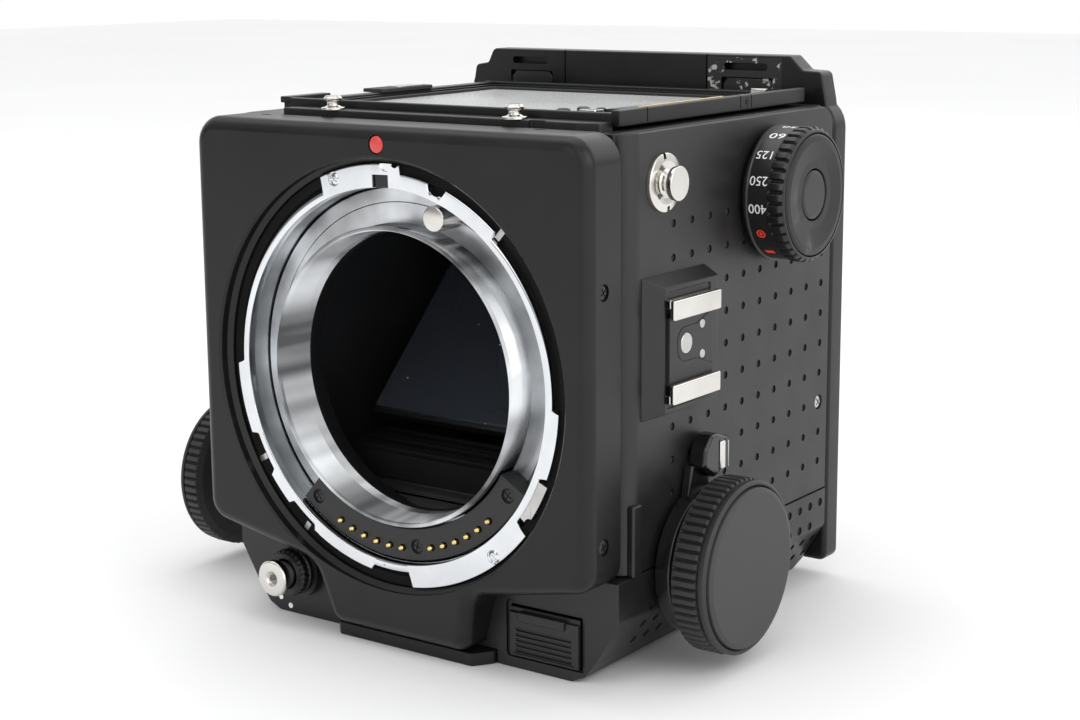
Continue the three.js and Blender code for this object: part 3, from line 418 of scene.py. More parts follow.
def turned(name, points, axis, centre, steps=96):
    """A solid of revolution from [radius, along, corner radius] points."""
    outline = [(max(r, 0.0), t) for r, t in rounded(points, 3)]
    return swept(name, lambda turn: outline, axis, centre, steps)


def lathe(name, points, axis, centre, steps, look, body, replaces=(), angle=32):
    """A turned piece, finished."""
    show(turned(name, points, axis, centre, steps), look, body, replaces, angle=angle)


def rod(name, radius, axis, centre, low, high, bevel=0.0, steps=48):
    """A plain round bar, used for cutters and pins."""
    return prism(name, circle(*centre, radius, steps), axis, low, high, bevel)


def joined(name, *pieces):
    """Separate shells in one mesh."""
    bm = bmesh.new()
    for piece in pieces:
        bm.from_mesh(piece.data)
        bpy.data.objects.remove(piece)
    return from_bmesh(name, bm)


def boolean(target, cutter, operation="DIFFERENCE"):
    """Cuts or joins by a solid, which is then removed.

    Faces that lie exactly in one plane can empty the result, so the solid is then moved by a hair.
    """
    step = target.modifiers.new("step", "BOOLEAN")
    step.operation = operation
    step.solver = "EXACT"
    step.object = cutter
    for _ in range(4):
        graph = bpy.context.evaluated_depsgraph_get()
        mesh = bpy.data.meshes.new_from_object(target.evaluated_get(graph))
        if mesh.vertices:
            break
        cutter.data.transform(Matrix.Translation((0.013, 0.017, 0.011)))
        cutter.data.update()
        cutter.update_tag()
    target.modifiers.clear()
    old = target.data
    target.data = mesh
    bpy.data.meshes.remove(old)
    bpy.data.objects.remove(cutter)


def cut(target, *cutters):
    for cutter in cutters:
        boolean(target, cutter)


def turn_about(piece, axis, angle, point):
    """Turns a piece by an angle in degrees about an axis through a point."""
    move = Matrix.Translation(Vector(point))
    spin = Matrix.Rotation(math.radians(angle), 4, axis.upper())
    piece.data.transform(move @ spin @ move.inverted())


def shifted(piece, x, y, z):
    piece.data.transform(Matrix.Translation((x, y, z)))


def painted(piece, look):
    piece.data.materials.clear()
    piece.data.materials.append(look)


def soft_edge(piece, width):
    """A modifier that rounds every edge sharper than 40 degrees."""
    soft = piece.modifiers.new("edge", "BEVEL")
    soft.width = width * MM
    soft.segments = 2
    soft.limit_method = "ANGLE"
    soft.angle_limit = math.radians(40)
    return soft


def skinned(piece, look):
    """Takes a piece to metres and gives it its material and smooth shading."""
    piece.data.transform(Matrix.Scale(MM, 4))
    painted(piece, look)
    piece.data.polygons.foreach_set("use_smooth", [True] * len(piece.data.polygons))


def show(piece, look, body, replaces=(), edge=0.0, angle=32):
    """Finishes a piece: material, crisp edges, the body it rides on and the nodes it stands for."""
    skinned(piece, look)
    piece.data.set_sharp_from_angle(angle=math.radians(angle))
    if edge:
        soft_edge(piece, edge).use_clamp_overlap = False
    even = piece.modifiers.new("even", "WEIGHTED_NORMAL")
    even.keep_sharp = True
    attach(piece, body)
    if replaces:
        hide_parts(*replaces)


def dress(node, look, edge=0.0):
    """A CAD node keeps its shape and gets its finish."""
    painted(nodes[node], look)
    if edge:
        soft_edge(nodes[node], edge)


def cross_screw(name, x, y, z, axis, side, radius, look, body, turn=20, rise=0.25):
    """A cross-head screw whose head rises from the face at its centre; side is the way it faces."""
    centre = {"x": (y, z), "y": (x, z), "z": (x, y)}[axis]
    face = {"x": x, "y": y, "z": z}[axis]
    top = face + side * rise
    foot = face - side * 0.6
    head = turned(name, [
        (0, top), (radius * 0.55, top), (radius, face + side * 0.02, 0.1), (radius, foot), (0, foot),
    ], axis, centre, 28)
    width, reach = radius * 0.2, radius * 0.62
    for quarter in (0, 90):
        bar = prism("bar", rectangle(-reach, reach, -width / 2, width / 2), "z", -0.55, 0.4)
        if axis == "x":
            turn_about(bar, "y", 90 * side, (0, 0, 0))
        if axis == "y":
            turn_about(bar, "x", -90 * side, (0, 0, 0))
        turn_about(bar, axis, turn + quarter, (0, 0, 0))
        shifted(bar, *place_point(axis, *centre, top))
        boolean(head, bar)
    show(head, look, body)


# ---------- places read from the frame

panel_low, panel_high = box_mm("front_panel")
throat_low, throat_high = box_mm("throat_tube")
cover_low, cover_high = box_mm("side_cover_right")
base_low, base_high = box_mm("base_housing")
adapter_low, adapter_high = box_mm("revolving_adapter")
HALF = panel_high.x
FACE = panel_low.y
RING_FACE = box_mm("mount_flange")[0].y
AXIS_Z = (throat_low.z + throat_high.z) / 2
SEAM = cover_low.z  # height where the covers meet the base
TOP = cover_high.z
FRONT = cover_low.y
REAR = cover_high.y
FOCUS_Y, FOCUS_Z = centre_of("focus_knob_right").yz
DIAL_Y, DIAL_Z = centre_of("speed_dial").yz
RELEASE = centre_of("release_button").xz
LENS_AXIS = (0, AXIS_Z)
FOCUS = (FOCUS_Y, FOCUS_Z)
DIAL = (DIAL_Y, DIAL_Z)

# ---------- fitted dimensions, in millimetres

HAIR = 0.35  # width of a seam between fitted parts
TRIPOD_Y = -12.0
BAY_X0, BAY_X1, BAY_Z0, BAY_Z1 = 24.9, 43.0, 2.7, 13.9  # battery chamber
PANEL_SCREWS = (83.1, 32.0)  # heights of the screws in the front panel's sides
PANEL_SCREW_Y = -48.5
INDEX_Z = 109.6  # height of the red index dot
SHOE_CONTACTS = ((-24.9, 69.9, 2.15), (-18.7, 73.0, 0.95), (-18.6, 66.7, 0.95))  # y, z, radius
RING_SCREW = (15.1, 115.5)  # y and z of the slotted screw in the finder rail
HUB = HUB_Y, HUB_Z = 14.0, 50.0  # pivot of the cocking lever
SCREEN_FITTINGS = 114.5  # height of the discs and clips beside the screen
RAIL_SLOTS = ((-38.7, -27.8), (22.9, 34.6))  # ends of the two slots in the adapter's rail
BASE_DIMPLES = ((52.0, 20.1, 0), (52.0, 15.3, 0), (50.0, 11.0, 30), (47.6, 7.0, 30))  # x, z, lean
MOUNT_SCREWS = ((-18.6, 43.3), (141.8, 43.3))  # clock angle and radius


# ---------- front panel


def front_panel():
    tongue_bend = 23.0
    tongue_slope = 3.2 / (tongue_bend - panel_low.z)
    fillet = 3.0
    shape = rounded([
        (-HALF, panel_high.z, 6), (HALF, panel_high.z, 6), (HALF, 23.3, 5.2), (21.8, 17.0, 5.0),
        (18.2, panel_low.z, 3.6), (-18.2, panel_low.z, 3.6), (-21.8, 17.0, 5.0), (-HALF, 23.3, 5.2),
    ], 7)
    panel = prism("front_panel_skin", shape, "y", FACE, panel_high.y, fillet, "low", 7)
    bm = bmesh.new()
    bm.from_mesh(panel.data)
    geometry = list(bm.verts) + list(bm.edges) + list(bm.faces)
    bmesh.ops.bisect_plane(bm, geom=geometry, plane_co=(0, 0, tongue_bend), plane_no=(0, 0, 1))
    for v in bm.verts:
        if v.co.z < tongue_bend and v.co.y < FACE + fillet + 0.5:
            v.co.y += (tongue_bend - v.co.z) * tongue_slope
    bm.to_mesh(panel.data)
    bm.free()
    back = block("back", -HALF - 5, HALF + 5, -43.8, 0, 0, tongue_bend + 0.5)
    recess = turned("recess", [
        (0, FACE - 2), (47.3, FACE - 2), (46.7, FACE), (46.2, FACE + 0.5, 0.3), (46.2, RING_FACE - 0.3),
        (45.2, RING_FACE + 0.6), (45.2, -49.2), (41.5, -49.2), (41.5, -41), (0, -41),
    ], "y", LENS_AXIS, 180)
    dot_seat = rod("dot_seat", 2.0, "y", (0, INDEX_Z), FACE - 1, FACE + 1)
    cut(panel, back, recess, dot_seat)
    for x in (-39, 34):
        cut(panel, prism("slot", rectangle(x - 1.4, x + 1.4, -44.9, -43.9, 0.45), "z", TOP - 0.6, TOP + 2))
    for z in PANEL_SCREWS:
        for seat in ((HALF - 0.5, HALF + 1), (-HALF - 1, -HALF + 0.5)):
            cut(panel, rod("screw_seat", 1.75, "x", (PANEL_SCREW_Y, z), *seat))
    show(panel, PAINT, "front_standard", ["front_panel"])
    for z in PANEL_SCREWS:
        for side, hand in SIDES:
            name = f"panel_screw_{hand}_{round(z)}"
            cross_screw(
                name, side * (HALF - 0.42), PANEL_SCREW_Y, z, "x", side, 1.55, PLASTIC, "front_standard",
                30, 0.3,
            )


def index_dot():
    lathe(
        "index_dot_lens",
        [
            (0, FACE - 0.12), (1.2, FACE - 0.08), (1.75, FACE + 0.1, 0.12), (1.75, FACE + 0.7),
            (0, FACE + 0.7),
        ],
        "y", (0, INDEX_Z), 40, RED, "front_standard", ["index_dot"],
    )


# ---------- lens mount


RIM = 41.7  # radius of the bright ring between its lugs
LUGS = [  # first and last clock angle of each lug and its radius
    (-23, 5, 45.0), (5, 15, 43.2), (21.5, 40, 43.3), (93, 111.5, 43.3), (129, 173, 45.0),
    (-172, -149, 42.9), (-137, -127, 43.1), (-113, -92, 43.4),
]


def rim_radius(angle):
    """Outer radius at a clock angle, with each lug's ends rounded over a short ramp."""
    ramp = 0.9
    radius = RIM
    for start, end, reach in LUGS:
        inside = min(angle - start, end - angle)
        if inside > -ramp:
            share = min(1, max(0, (inside + ramp) / ramp))
            radius = max(radius, RIM + (reach - RIM) * share * share * (3 - 2 * share))
    return radius


def mount_flange():
    inner = 39.95
    face, back = RING_FACE, RING_FACE + 1.9
    steps = 720

    def section(turn):
        angle = 90 - math.degrees(turn)
        angle = (angle + 180) % 360 - 180
        outer = rim_radius(angle)
        return [
            (inner, back), (inner, face + 0.28), (inner + 0.1, face + 0.09), (inner + 0.28, face),
            (outer - 0.35, face), (outer - 0.1, face + 0.1), (outer, face + 0.35), (outer, back),
        ]

    ring = swept("bayonet_ring", section, "y", LENS_AXIS, steps)
    for angle, radius, bite in ((18.3, 43.2, 2.0), (3.4, 45.2, 0.9), (-119, 44.6, 2.6), (44.5, 43.6, 1.7)):
        cut(ring, rod("bite", bite, "y", clock(radius, angle), face - 1, back + 1, steps=28))
    for angle, radius in ((-18.6, 43.3), (0.3, 44.9), (141.8, 43.3), (-150, 44.0)):
        cut(ring, rod("screw_seat", 1.55, "y", clock(radius, angle), face - 1, face + 0.45, steps=28))
    square = prism("square", rectangle(-2.1, 2.1, AXIS_Z + 38, AXIS_Z + 42.7), "y", face - 1, back + 1)
    turn_about(square, "y", -1.6, (0, 0, AXIS_Z))
    cut(ring, square)
    show(ring, CHROME, "front_standard", ["mount_flange"], angle=28)
    for n, (angle, radius) in enumerate(MOUNT_SCREWS):
        x, z = clock(radius, angle)
        cross_screw(
            f"mount_screw_{n + 1}", x, face + 0.42, z, "y", -1, 1.4, CHROME, "front_standard", 35, 0.3,
        )


def mount_seat():
    """The stepped black seat that shows round the bright ring, and its small fittings."""
    lathe("mount_seat", [
        (40.4, -49.25), (45.15, -49.25), (45.15, -50.3, 0.3), (43.0, -50.3, 0.2), (42.6, -49.55),
        (40.4, -49.55),
    ], "y", LENS_AXIS, 160, DARK, "front_standard")
    stop = swept_sector("mount_stop_spring", 40.5, 43.9, RING_FACE + 0.25, RING_FACE + 1.6, 113.5, 126.5)
    cut(stop, rod("bite", 1.3, "y", clock(44.2, 126), -60, -45, steps=24))
    show(stop, STEEL, "front_standard", edge=0.15)
    square_block = swept_sector(
        "mount_square_block", 39.96, 42.6, RING_FACE + 0.7, RING_FACE + 1.8, -4.3, 1.0,
    )
    show(square_block, PLASTIC, "front_standard", edge=0.1)
    for n, (angle, radius, width) in enumerate(((41.5, 43.2, 5), (-121, 43.6, 5), (-145.5, 43.9, 4))):
        x, z = clock(radius, angle)
        tab = block("tab", -0.7, 0.7, -50.6, -50.0, -width / 4, width / 4, 0.15, 2)
        turn_about(tab, "y", angle, (0, 0, 0))
        shifted(tab, x, 0, z)
        tab.name = f"mount_glint_tab_{n + 1}"
        show(tab, STEEL, "front_standard")


def swept_sector(name, inner, outer, low, high, start, end):
    """Part of a ring about the lens axis between two clock angles."""
    steps = max(4, round(abs(end - start) / 2))
    arc = [start + (end - start) * i / steps for i in range(steps + 1)]
    outline = [clock(outer, a) for a in arc] + [clock(inner, a) for a in reversed(arc)]
    return prism(name, outline, "y", low, high)


def mount_barrel():
    outer = 39.9
    lathe("mount_channel", [
        (41.2, -49.2), (41.2, -42.1), (32.35, -42.1), (32.35, -43.4), (outer, -43.4, 0.8),
        (outer, RING_FACE + 1.95), (41.2, RING_FACE + 1.95),
    ], "y", LENS_AXIS, 180, SPUN, "front_standard", ["mount_barrel"])


def throat():
    outer, face, back = 31.95, RING_FACE, -41.7
    lathe("throat_sleeve", [
        (31.2, face, 0.15), (outer, face + 0.35, 0.1), (outer, back), (30.5, back), (30.5, -44.5, 0.6),
        (31.0, face + 0.7, 0.2),
    ], "y", LENS_AXIS, 180, FLARED, "front_standard", ["throat_tube"])
    for n, y in enumerate((-41.2, -39.4, -37.6)):
        lathe(
            f"throat_baffle_{n + 1}",
            [
                (30.3 + 0.5 * n, y - 0.7, 0.2), (33.5, y - 0.7), (33.5, y + 0.7),
                (30.3 + 0.5 * n, y + 0.7, 0.2),
            ],
            "y", LENS_AXIS, 120, DARK, "front_standard",
        )


def cocking_ring():
    floor = box_mm("cocking_ring")[0].y
    ring = turned("channel_floor", [
        (32.05, floor + 0.1, 0.04), (36.35, floor, 0.05), (36.45, floor + 0.25), (36.55, floor, 0.05),
        (39.55, floor - 0.15, 0.2), (39.6, floor + 1.4), (32.05, floor + 1.4),
    ], "y", LENS_AXIS, 180)
    for angle in (-67, -100):
        cut(ring, rod("slot", 1.4, "y", clock(34.4, angle), floor - 1, floor + 0.9, steps=24))
    show(ring, SPUN, "cocking_ring", ["cocking_ring"])
    pin_low, pin_high = box_mm("cocking_pin")
    centre = ((pin_low.x + pin_high.x) / 2, (pin_low.z + pin_high.z) / 2)
    lathe(
        "cocking_post", [(0, RING_FACE), (2.65, RING_FACE, 0.25), (2.65, floor - 0.2), (0, floor - 0.2)],
        "y", centre, 48, NICKEL, "cocking_ring", ["cocking_pin"],
    )


CONTACT_MIDDLE = 171.1  # clock angle of the contact block's middle
PIN_FIRST = 6.2  # degrees from the middle to the nearest pin on each side
PIN_PITCH = 5.45


def pin_angles():
    steps = [PIN_FIRST + i * PIN_PITCH for i in range(6)]
    return sorted([CONTACT_MIDDLE + a for a in steps] + [CONTACT_MIDDLE - a for a in steps])


def contacts():
    face = -50.0
    inner, outer, span = 32.5, 39.4, 50.0
    steps = 60
    arc = [CONTACT_MIDDLE - span + 2 * span * i / steps for i in range(steps + 1)]
    outline = [clock(outer, a) for a in arc] + [clock(inner, a) for a in reversed(arc)]
    plate = prism("contact_plate", outline, "y", face, face + 4.6, 0.25, "low", 2)
    for angle in pin_angles():
        cut(plate, rod("well", 0.78, "y", clock(36.7, angle), face - 1, face + 0.6, steps=20))
    screw_angles = (CONTACT_MIDDLE, CONTACT_MIDDLE - 45.7, CONTACT_MIDDLE + 45.7)
    for angle in screw_angles:
        cut(plate, rod("seat", 1.65, "y", clock(36.3, angle), face - 1, face + 0.4, steps=32))
    show(plate, PLASTIC, "front_standard", ["contact_block"])
    for n, angle in enumerate(screw_angles):
        x, z = clock(36.3, angle)
        cross_screw(
            f"contact_screw_{n + 1}", x, face + 0.38, z, "y", -1, 1.45, PLASTIC, "front_standard",
            15 + 20 * n, 0.3,
        )
    pins = []
    for n, angle in enumerate(pin_angles()):
        pins.append(turned(f"pin_{n}", [
            (0, -51.1), (0.35, -51.05), (0.56, -50.7, 0.1), (0.56, face + 0.9), (0, face + 0.9),
        ], "y", clock(36.7, angle), 20))
    show(joined("gold_contact_pins", *pins), GOLD, "front_standard", ["contact_pins"])


# ---------- side covers


DIMPLE = {
    "y0": -23.1, "pitch_y": 7.16, "z0": 93.8, "pitch_z": 7.03, "columns": 10, "rows": 10, "radius": 0.85,
}


def dimple_places():
    """(y, z) of every dimple on a side cover; the shoe and the screw take the place of some."""
    d = DIMPLE
    places = []
    for row in range(d["rows"]):
        for column in range(d["columns"]):
            y = d["y0"] + column * d["pitch_y"]
            z = d["z0"] - row * d["pitch_z"]
            behind_shoe = 2 <= row <= 5 and column < 3
            is_screw = (row, column) == (7, 9)
            if not behind_shoe and not is_screw and z > SEAM + 3:
                places.append((y, z))
    return places


def cup(side, y, z, radius, wall, depth=0.9):
    """A small cutter with a conical floor for one dimple in a wall that faces along X."""
    x = side * wall
    return turned("cup", [
        (0, x + side * 0.5), (radius, x + side * 0.5), (radius, x - side * depth * 0.5),
        (0, x - side * depth),
    ], "x", (y, z), 16)


def side_cover(side, name):
    inner = HALF - 2.7
    lip = inner - 2.5
    lip_back = -37.8
    section = rounded([
        (side * inner, REAR), (side * inner, lip_back), (side * lip, lip_back), (side * lip, FRONT),
        (side * HALF, FRONT, 4.8), (side * HALF, REAR, 0.4),
    ], 10)
    cover = prism(f"cover_shell_{name}", section, "z", SEAM + HAIR / 2, TOP, 0.9, "high", 4)
    surround = rectangle(FRONT - 20, REAR + 20, SEAM - 9, TOP + 9)
    outside = prism("outside", surround, "x", -HALF - 9, HALF + 9)
    corners = [
        (FRONT - 3, SEAM - 5), (REAR + 0.05, SEAM - 5), (REAR + 0.05, TOP + 0.02, 5.5),
        (FRONT - 3, TOP + 0.02, 2.0),
    ]
    inside = prism("inside", rounded(corners, 8), "x", -HALF - 10, HALF + 10)
    boolean(outside, inside)
    cut(cover, outside)
    cut(cover, rod("bush_hole", 7.5, "x", FOCUS, -HALF - 1, HALF + 1, steps=48))
    cups = []
    for y, z in dimple_places():
        under_winding = side < 0 and -31 < y < 43 and z < 81
        if not under_winding:
            cups.append(cup(side, y, z, DIMPLE["radius"], HALF))
    cut(cover, joined("cups", *cups))
    if side > 0:
        screw_y = DIMPLE["y0"] + 9 * DIMPLE["pitch_y"]
        screw_z = DIMPLE["z0"] - 7 * DIMPLE["pitch_z"]
        cut(cover, rod("screw_seat", 1.75, "x", (screw_y, screw_z), HALF - 0.5, HALF + 1, steps=28))
    strip = block("strip", side * (HALF + 0.3), side * (HALF - 0.5), REAR - 1.2, REAR - 0.85, SEAM, TOP)
    cut(cover, strip)
    show(cover, COVER, "body", [f"side_cover_{name}"])
    if side > 0:
        cross_screw("cover_screw", HALF - 0.42, screw_y, screw_z, "x", 1, 1.6, STEEL, "body", 40, 0.32)


def front_strip(side, name):
    """The narrow strip at the lower front edge of a side cover."""
    x0, x1 = sorted((side * 50.2, side * 52.6))
    strip = block(f"front_edge_strip_{name}", x0, x1, -38.6, -35.2, 23.0, 38.0, 0.55)
    show(strip, COVER, "body")


# ---------- base


def base_housing():
    shoulder = 14.2
    profile = [
        (HALF, base_high.z, 0.3), (HALF, shoulder, 2.5), (46.2, 4.6, 1.5), (43.6, 1.4, 1.0), (40.5, 0.0),
        (-40.5, 0.0), (-43.6, 1.4, 1.0), (-46.2, 4.6, 1.5), (-HALF, shoulder, 2.5),
        (-HALF, base_high.z, 0.3),
    ]
    shell = prism("base_casing", rounded(profile, 5), "y", base_low.y + 1.9, REAR, 0.8, "low", 3)
    flange = rod("flange", 6.4, "y", RELEASE, base_low.y, -40, 0.0, 64)
    boolean(shell, flange, "UNION")
    hollows = [
        (-39.5, 39.5, -40.4, 43, -2, 3.2), (-21.6, 21.6, -60, -40, -2, 3.2),
        (-18.6, 18.6, -60, 40, 4.6, base_high.z + 2), (-40, -21.2, -39, 42, 0, 20.5),
        (21.2, 40, -8, 42, 0, 20.5), (BAY_X0, BAY_X1, -60, -14, BAY_Z0, BAY_Z1),
    ]
    for hollow in hollows:
        cut(shell, block("hollow", *hollow))
    mouth = rectangle(BAY_X0 - 0.9, BAY_X1 + 0.9, BAY_Z0 - 0.3, BAY_Z1 + 1.1, 1.0)
    cut(shell, prism("recess", mouth, "y", -60, -42.6))
    cut(shell, rod("stem_hole", 3.4, "y", RELEASE, -60, -38, steps=32))
    cut(shell, rod("socket_hole", 8.4, "z", (0, TRIPOD_Y), 2, 5.4, steps=48))
    cut(shell, rod("shaft_hole", 4, "x", FOCUS, -60, 60, steps=32))
    for side, _ in SIDES:
        ends = sorted((side * 45.7, side * 60))
        cut(shell, rod("bush_room", 7.5, "x", FOCUS, *ends, steps=48))
    cut(shell, joined("cups", *base_dimples()))
    show(shell, COVER, "body", ["base_housing"], angle=26)


def base_dimples():
    """Rows of larger dimples low on each side; the lower rows follow the slanted flank."""
    cups = []
    pitch = 4.95
    for row, (x, z, lean) in enumerate(BASE_DIMPLES):
        for column in range(16):
            y = -31.0 + column * pitch
            near_bush = (y - FOCUS_Y) ** 2 + (z - FOCUS_Z) ** 2 < 11**2
            screw_place = row == 1 and column == 15
            if near_bush or screw_place:
                continue
            for side, _ in SIDES:
                piece = turned("cup", [(0, 0.6), (1.0, 0.6), (1.0, -0.4), (0, -0.8)], "x", (0, 0), 14)
                if side < 0:
                    piece.data.transform(Matrix.Scale(-1, 4, (1, 0, 0)))
                turn_about(piece, "y", side * lean, (0, 0, 0))
                shifted(piece, side * x, y, z)
                cups.append(piece)
    return cups


def release_group():
    """Release button with its cable thread, knurled lock collar and two index dots."""
    centre = RELEASE
    head_low, head_high = box_mm("release_button")
    face = head_low.y
    lathe("release_plunger", [
        (0, face + 2.8), (1.15, face + 2.4), (1.25, face + 0.5), (1.75, face + 0.02, 0.1),
        (3.75, face, 0.25), (4.07, face + 0.4, 0.2), (4.07, face + 1.8, 0.15), (3.1, face + 2.2),
        (3.1, head_high.y), (0, head_high.y),
    ], "y", centre, 72, NICKEL, "release_button", ["release_button"])
    thread = []
    for n in range(5):
        y = face + 0.6 + n * 0.42
        thread.append(turned("thread", [(1.0, y), (1.3, y - 0.16), (1.3, y + 0.16)], "y", centre, 28))
    show(joined("release_thread", *thread), STEEL, "release_button")
    collar_low, collar_high = box_mm("release_lock_collar")
    knurls = 26

    def section(turn):
        ridge = 5.15 + 0.25 * max(0, math.cos(turn * knurls)) ** 0.6
        front, back = collar_low.y, collar_high.y
        return [
            (3.4, back), (3.4, front + 0.2), (3.6, front), (4.6, front), (4.8, front + 0.35),
            (ridge - 0.25, front + 0.6), (ridge, front + 0.9), (ridge, front + 2.3), (5.0, front + 2.5),
            (5.35, front + 2.8), (5.35, back),
        ]

    collar = swept("release_collar_knurl", section, "y", centre, 208)
    show(collar, PLASTIC, "release_collar", ["release_lock_collar"])
    for n, (x, z) in enumerate(((-40.2, 3.2), (-37.3, 1.6))):
        dot = rod(f"release_mark_{n + 1}", 0.62, "y", (x, z), base_low.y + 1.82, base_low.y + 2.2, steps=24)
        show(dot, WHITE_INK, "body")


def battery_cover():
    low, high = box_mm("battery_cover")
    front = low.y
    cover = block("battery_door", low.x, high.x, front, high.y, low.z, high.z, 0.35)
    cut(cover, block("step", low.x - 1, high.x + 1, front - 1, front + 0.7, high.z - 1.0, high.z + 1))
    top_groove = 10.2 - 1.25
    for n in range(5):
        z = top_groove - n * 1.15
        groove = rectangle(low.x + 1.7, high.x - 1.7, z - 0.3, z + 0.3, 0.28)
        cut(cover, prism("groove", groove, "y", front - 1, front + 0.5))
    outline = block("outline", low.x + 1.0, high.x - 1.0, front - 1, front + 0.22, 3.6, 3.85)
    cut(cover, outline)
    show(cover, PLASTIC, "battery_cover", ["battery_cover"], edge=0.12)
    latch = block("battery_latch", low.x + 2.6, high.x - 3.2, front - 0.6, front + 0.7, 10.9, 13.0, 0.3)
    show(latch, PLASTIC, "battery_cover")
    surround = rectangle(24.0, 43.9, 2.45, 14.9, 1.0)
    recess = prism("battery_recess_frame", surround, "y", -42.9, -42.2)
    cut(recess, block("opening", BAY_X0, BAY_X1, -50, -40, BAY_Z0, BAY_Z1))
    show(recess, PLASTIC, "body", edge=0.12)


def base_plate():
    outline = rounded([
        (39.2, 42.7, 2), (39.2, -40.1, 2), (21.3, -40.1), (21.3, -44.2, 1), (18.3, -48.3, 1.5),
        (-18.3, -48.3, 1.5), (-21.3, -44.2, 1), (-21.3, -40.1), (-39.2, -40.1, 2), (-39.2, 42.7, 2),
    ])
    plate = prism("bottom_plate", outline, "z", 0, 2.9, 0.4, "low", 2)
    cut(plate, rod("hole", 8.3, "z", (0, TRIPOD_Y), -1, 4, steps=64))
    for y in range(-36, 42, 6):
        if abs(y - TRIPOD_Y) > 14:
            groove = prism("groove", rectangle(-14, 14, y - 0.6, y + 0.6, 0.55), "z", -1, 0.35)
            cut(plate, groove)
    show(plate, PAINT, "body", ["base_plate"], edge=0.1)
    for n, (x, y) in enumerate(((34, 38), (-34, 38), (34, -35), (-34, -35))):
        cross_screw(f"bottom_screw_{n + 1}", x, y, 0.28, "z", -1, 2.0, PLASTIC, "body", 20 * n, 0.2)


# ---------- knobs, lever and dial


def ribbed(name, axis_centre, profile, ribs, depth, body_name, look, replaced, steps_each=10):
    """A turned grip whose radius dips between ribs.

    Profile points are (radius, along, share of the rib depth).
    """

    def section(turn):
        phase = (turn * ribs / (2 * math.pi)) % 1
        valley = 0.0 if phase > 0.42 else math.sin(math.pi * phase / 0.42) ** 0.5
        return [(radius - depth * share * valley, along) for radius, along, share in profile]

    grip = swept(name, section, "x", axis_centre, ribs * steps_each)
    show(grip, look, body_name, replaced, angle=38)


def focus_knob(side, name):
    low, high = box_mm(f"focus_knob_{name}")
    inner = low.x if side > 0 else high.x
    radius = (high.z - low.z) / 2
    cap_low, cap_high = box_mm(f"knob_cap_{name}")
    cap = (cap_high.z - cap_low.z) / 2
    face = cap_high.x if side > 0 else cap_low.x
    depth = abs(face - inner) / 9.6

    def at(step):
        return inner + side * step * depth

    profile = [
        (3.3, at(0), 0), (radius - 2.2, at(0), 0), (radius - 1.5, at(0.25), 0),
        (radius - 0.95, at(0.75), 0), (radius - 0.25, at(0.95), 0.25), (radius, at(1.25), 0.9),
        (radius, at(1.6), 1), (radius, at(5.9), 1), (radius - 0.05, at(6.35), 0.9),
        (radius - 0.35, at(6.6), 0.25), (radius - 0.95, at(6.8), 0), (radius - 0.95, at(7.15), 0),
        (radius - 0.3, at(7.35), 0), (radius - 0.2, at(7.7), 0), (radius - 0.2, at(8.3), 0),
        (radius - 0.6, at(8.7), 0), (cap + 0.5, at(8.8), 0), (cap + 0.25, at(8.6), 0),
        (cap + 0.25, at(7.4), 0), (3.3, at(7.4), 0),
    ]
    centre = FOCUS
    ribbed(
        f"knob_grip_{name}", centre, profile, 60, 0.85, "focus_shaft", RUBBER,
        [f"focus_knob_{name}"],
    )
    lathe(
        f"knob_face_{name}",
        [
            (0, at(9.6)), (cap - 1.0, at(9.6), 0.3), (cap - 0.1, at(9.25), 0.3), (cap, at(8.0)),
            (0, at(8.0)),
        ],
        "x", centre, 128, CAP, "focus_shaft", [f"knob_cap_{name}"],
    )


def bush(side, name):
    """The neck round the focusing shaft; the left one is longer and has a collar."""
    low, high = box_mm(f"shaft_bush_{name}")
    near, far = sorted((low.x, high.x), key=abs)
    collar = {
        "right": [(7.2, 52.3), (7.2, 53.0), (7.2, 54.0)],
        "left": [(9.4, -52.3, 0.3), (9.0, -60.6, 0.3), (7.2, -60.8)],
    }
    profile = [
        (3.08, near), (7.2, near), (7.2, side * 52.2), *collar[name], (7.2, far - side * 0.4), (6.8, far),
        (3.08, far),
    ]
    lathe(
        f"shaft_neck_{name}", profile, "x", FOCUS, 72, PLASTIC, "body",
        [f"shaft_bush_{name}"],
    )


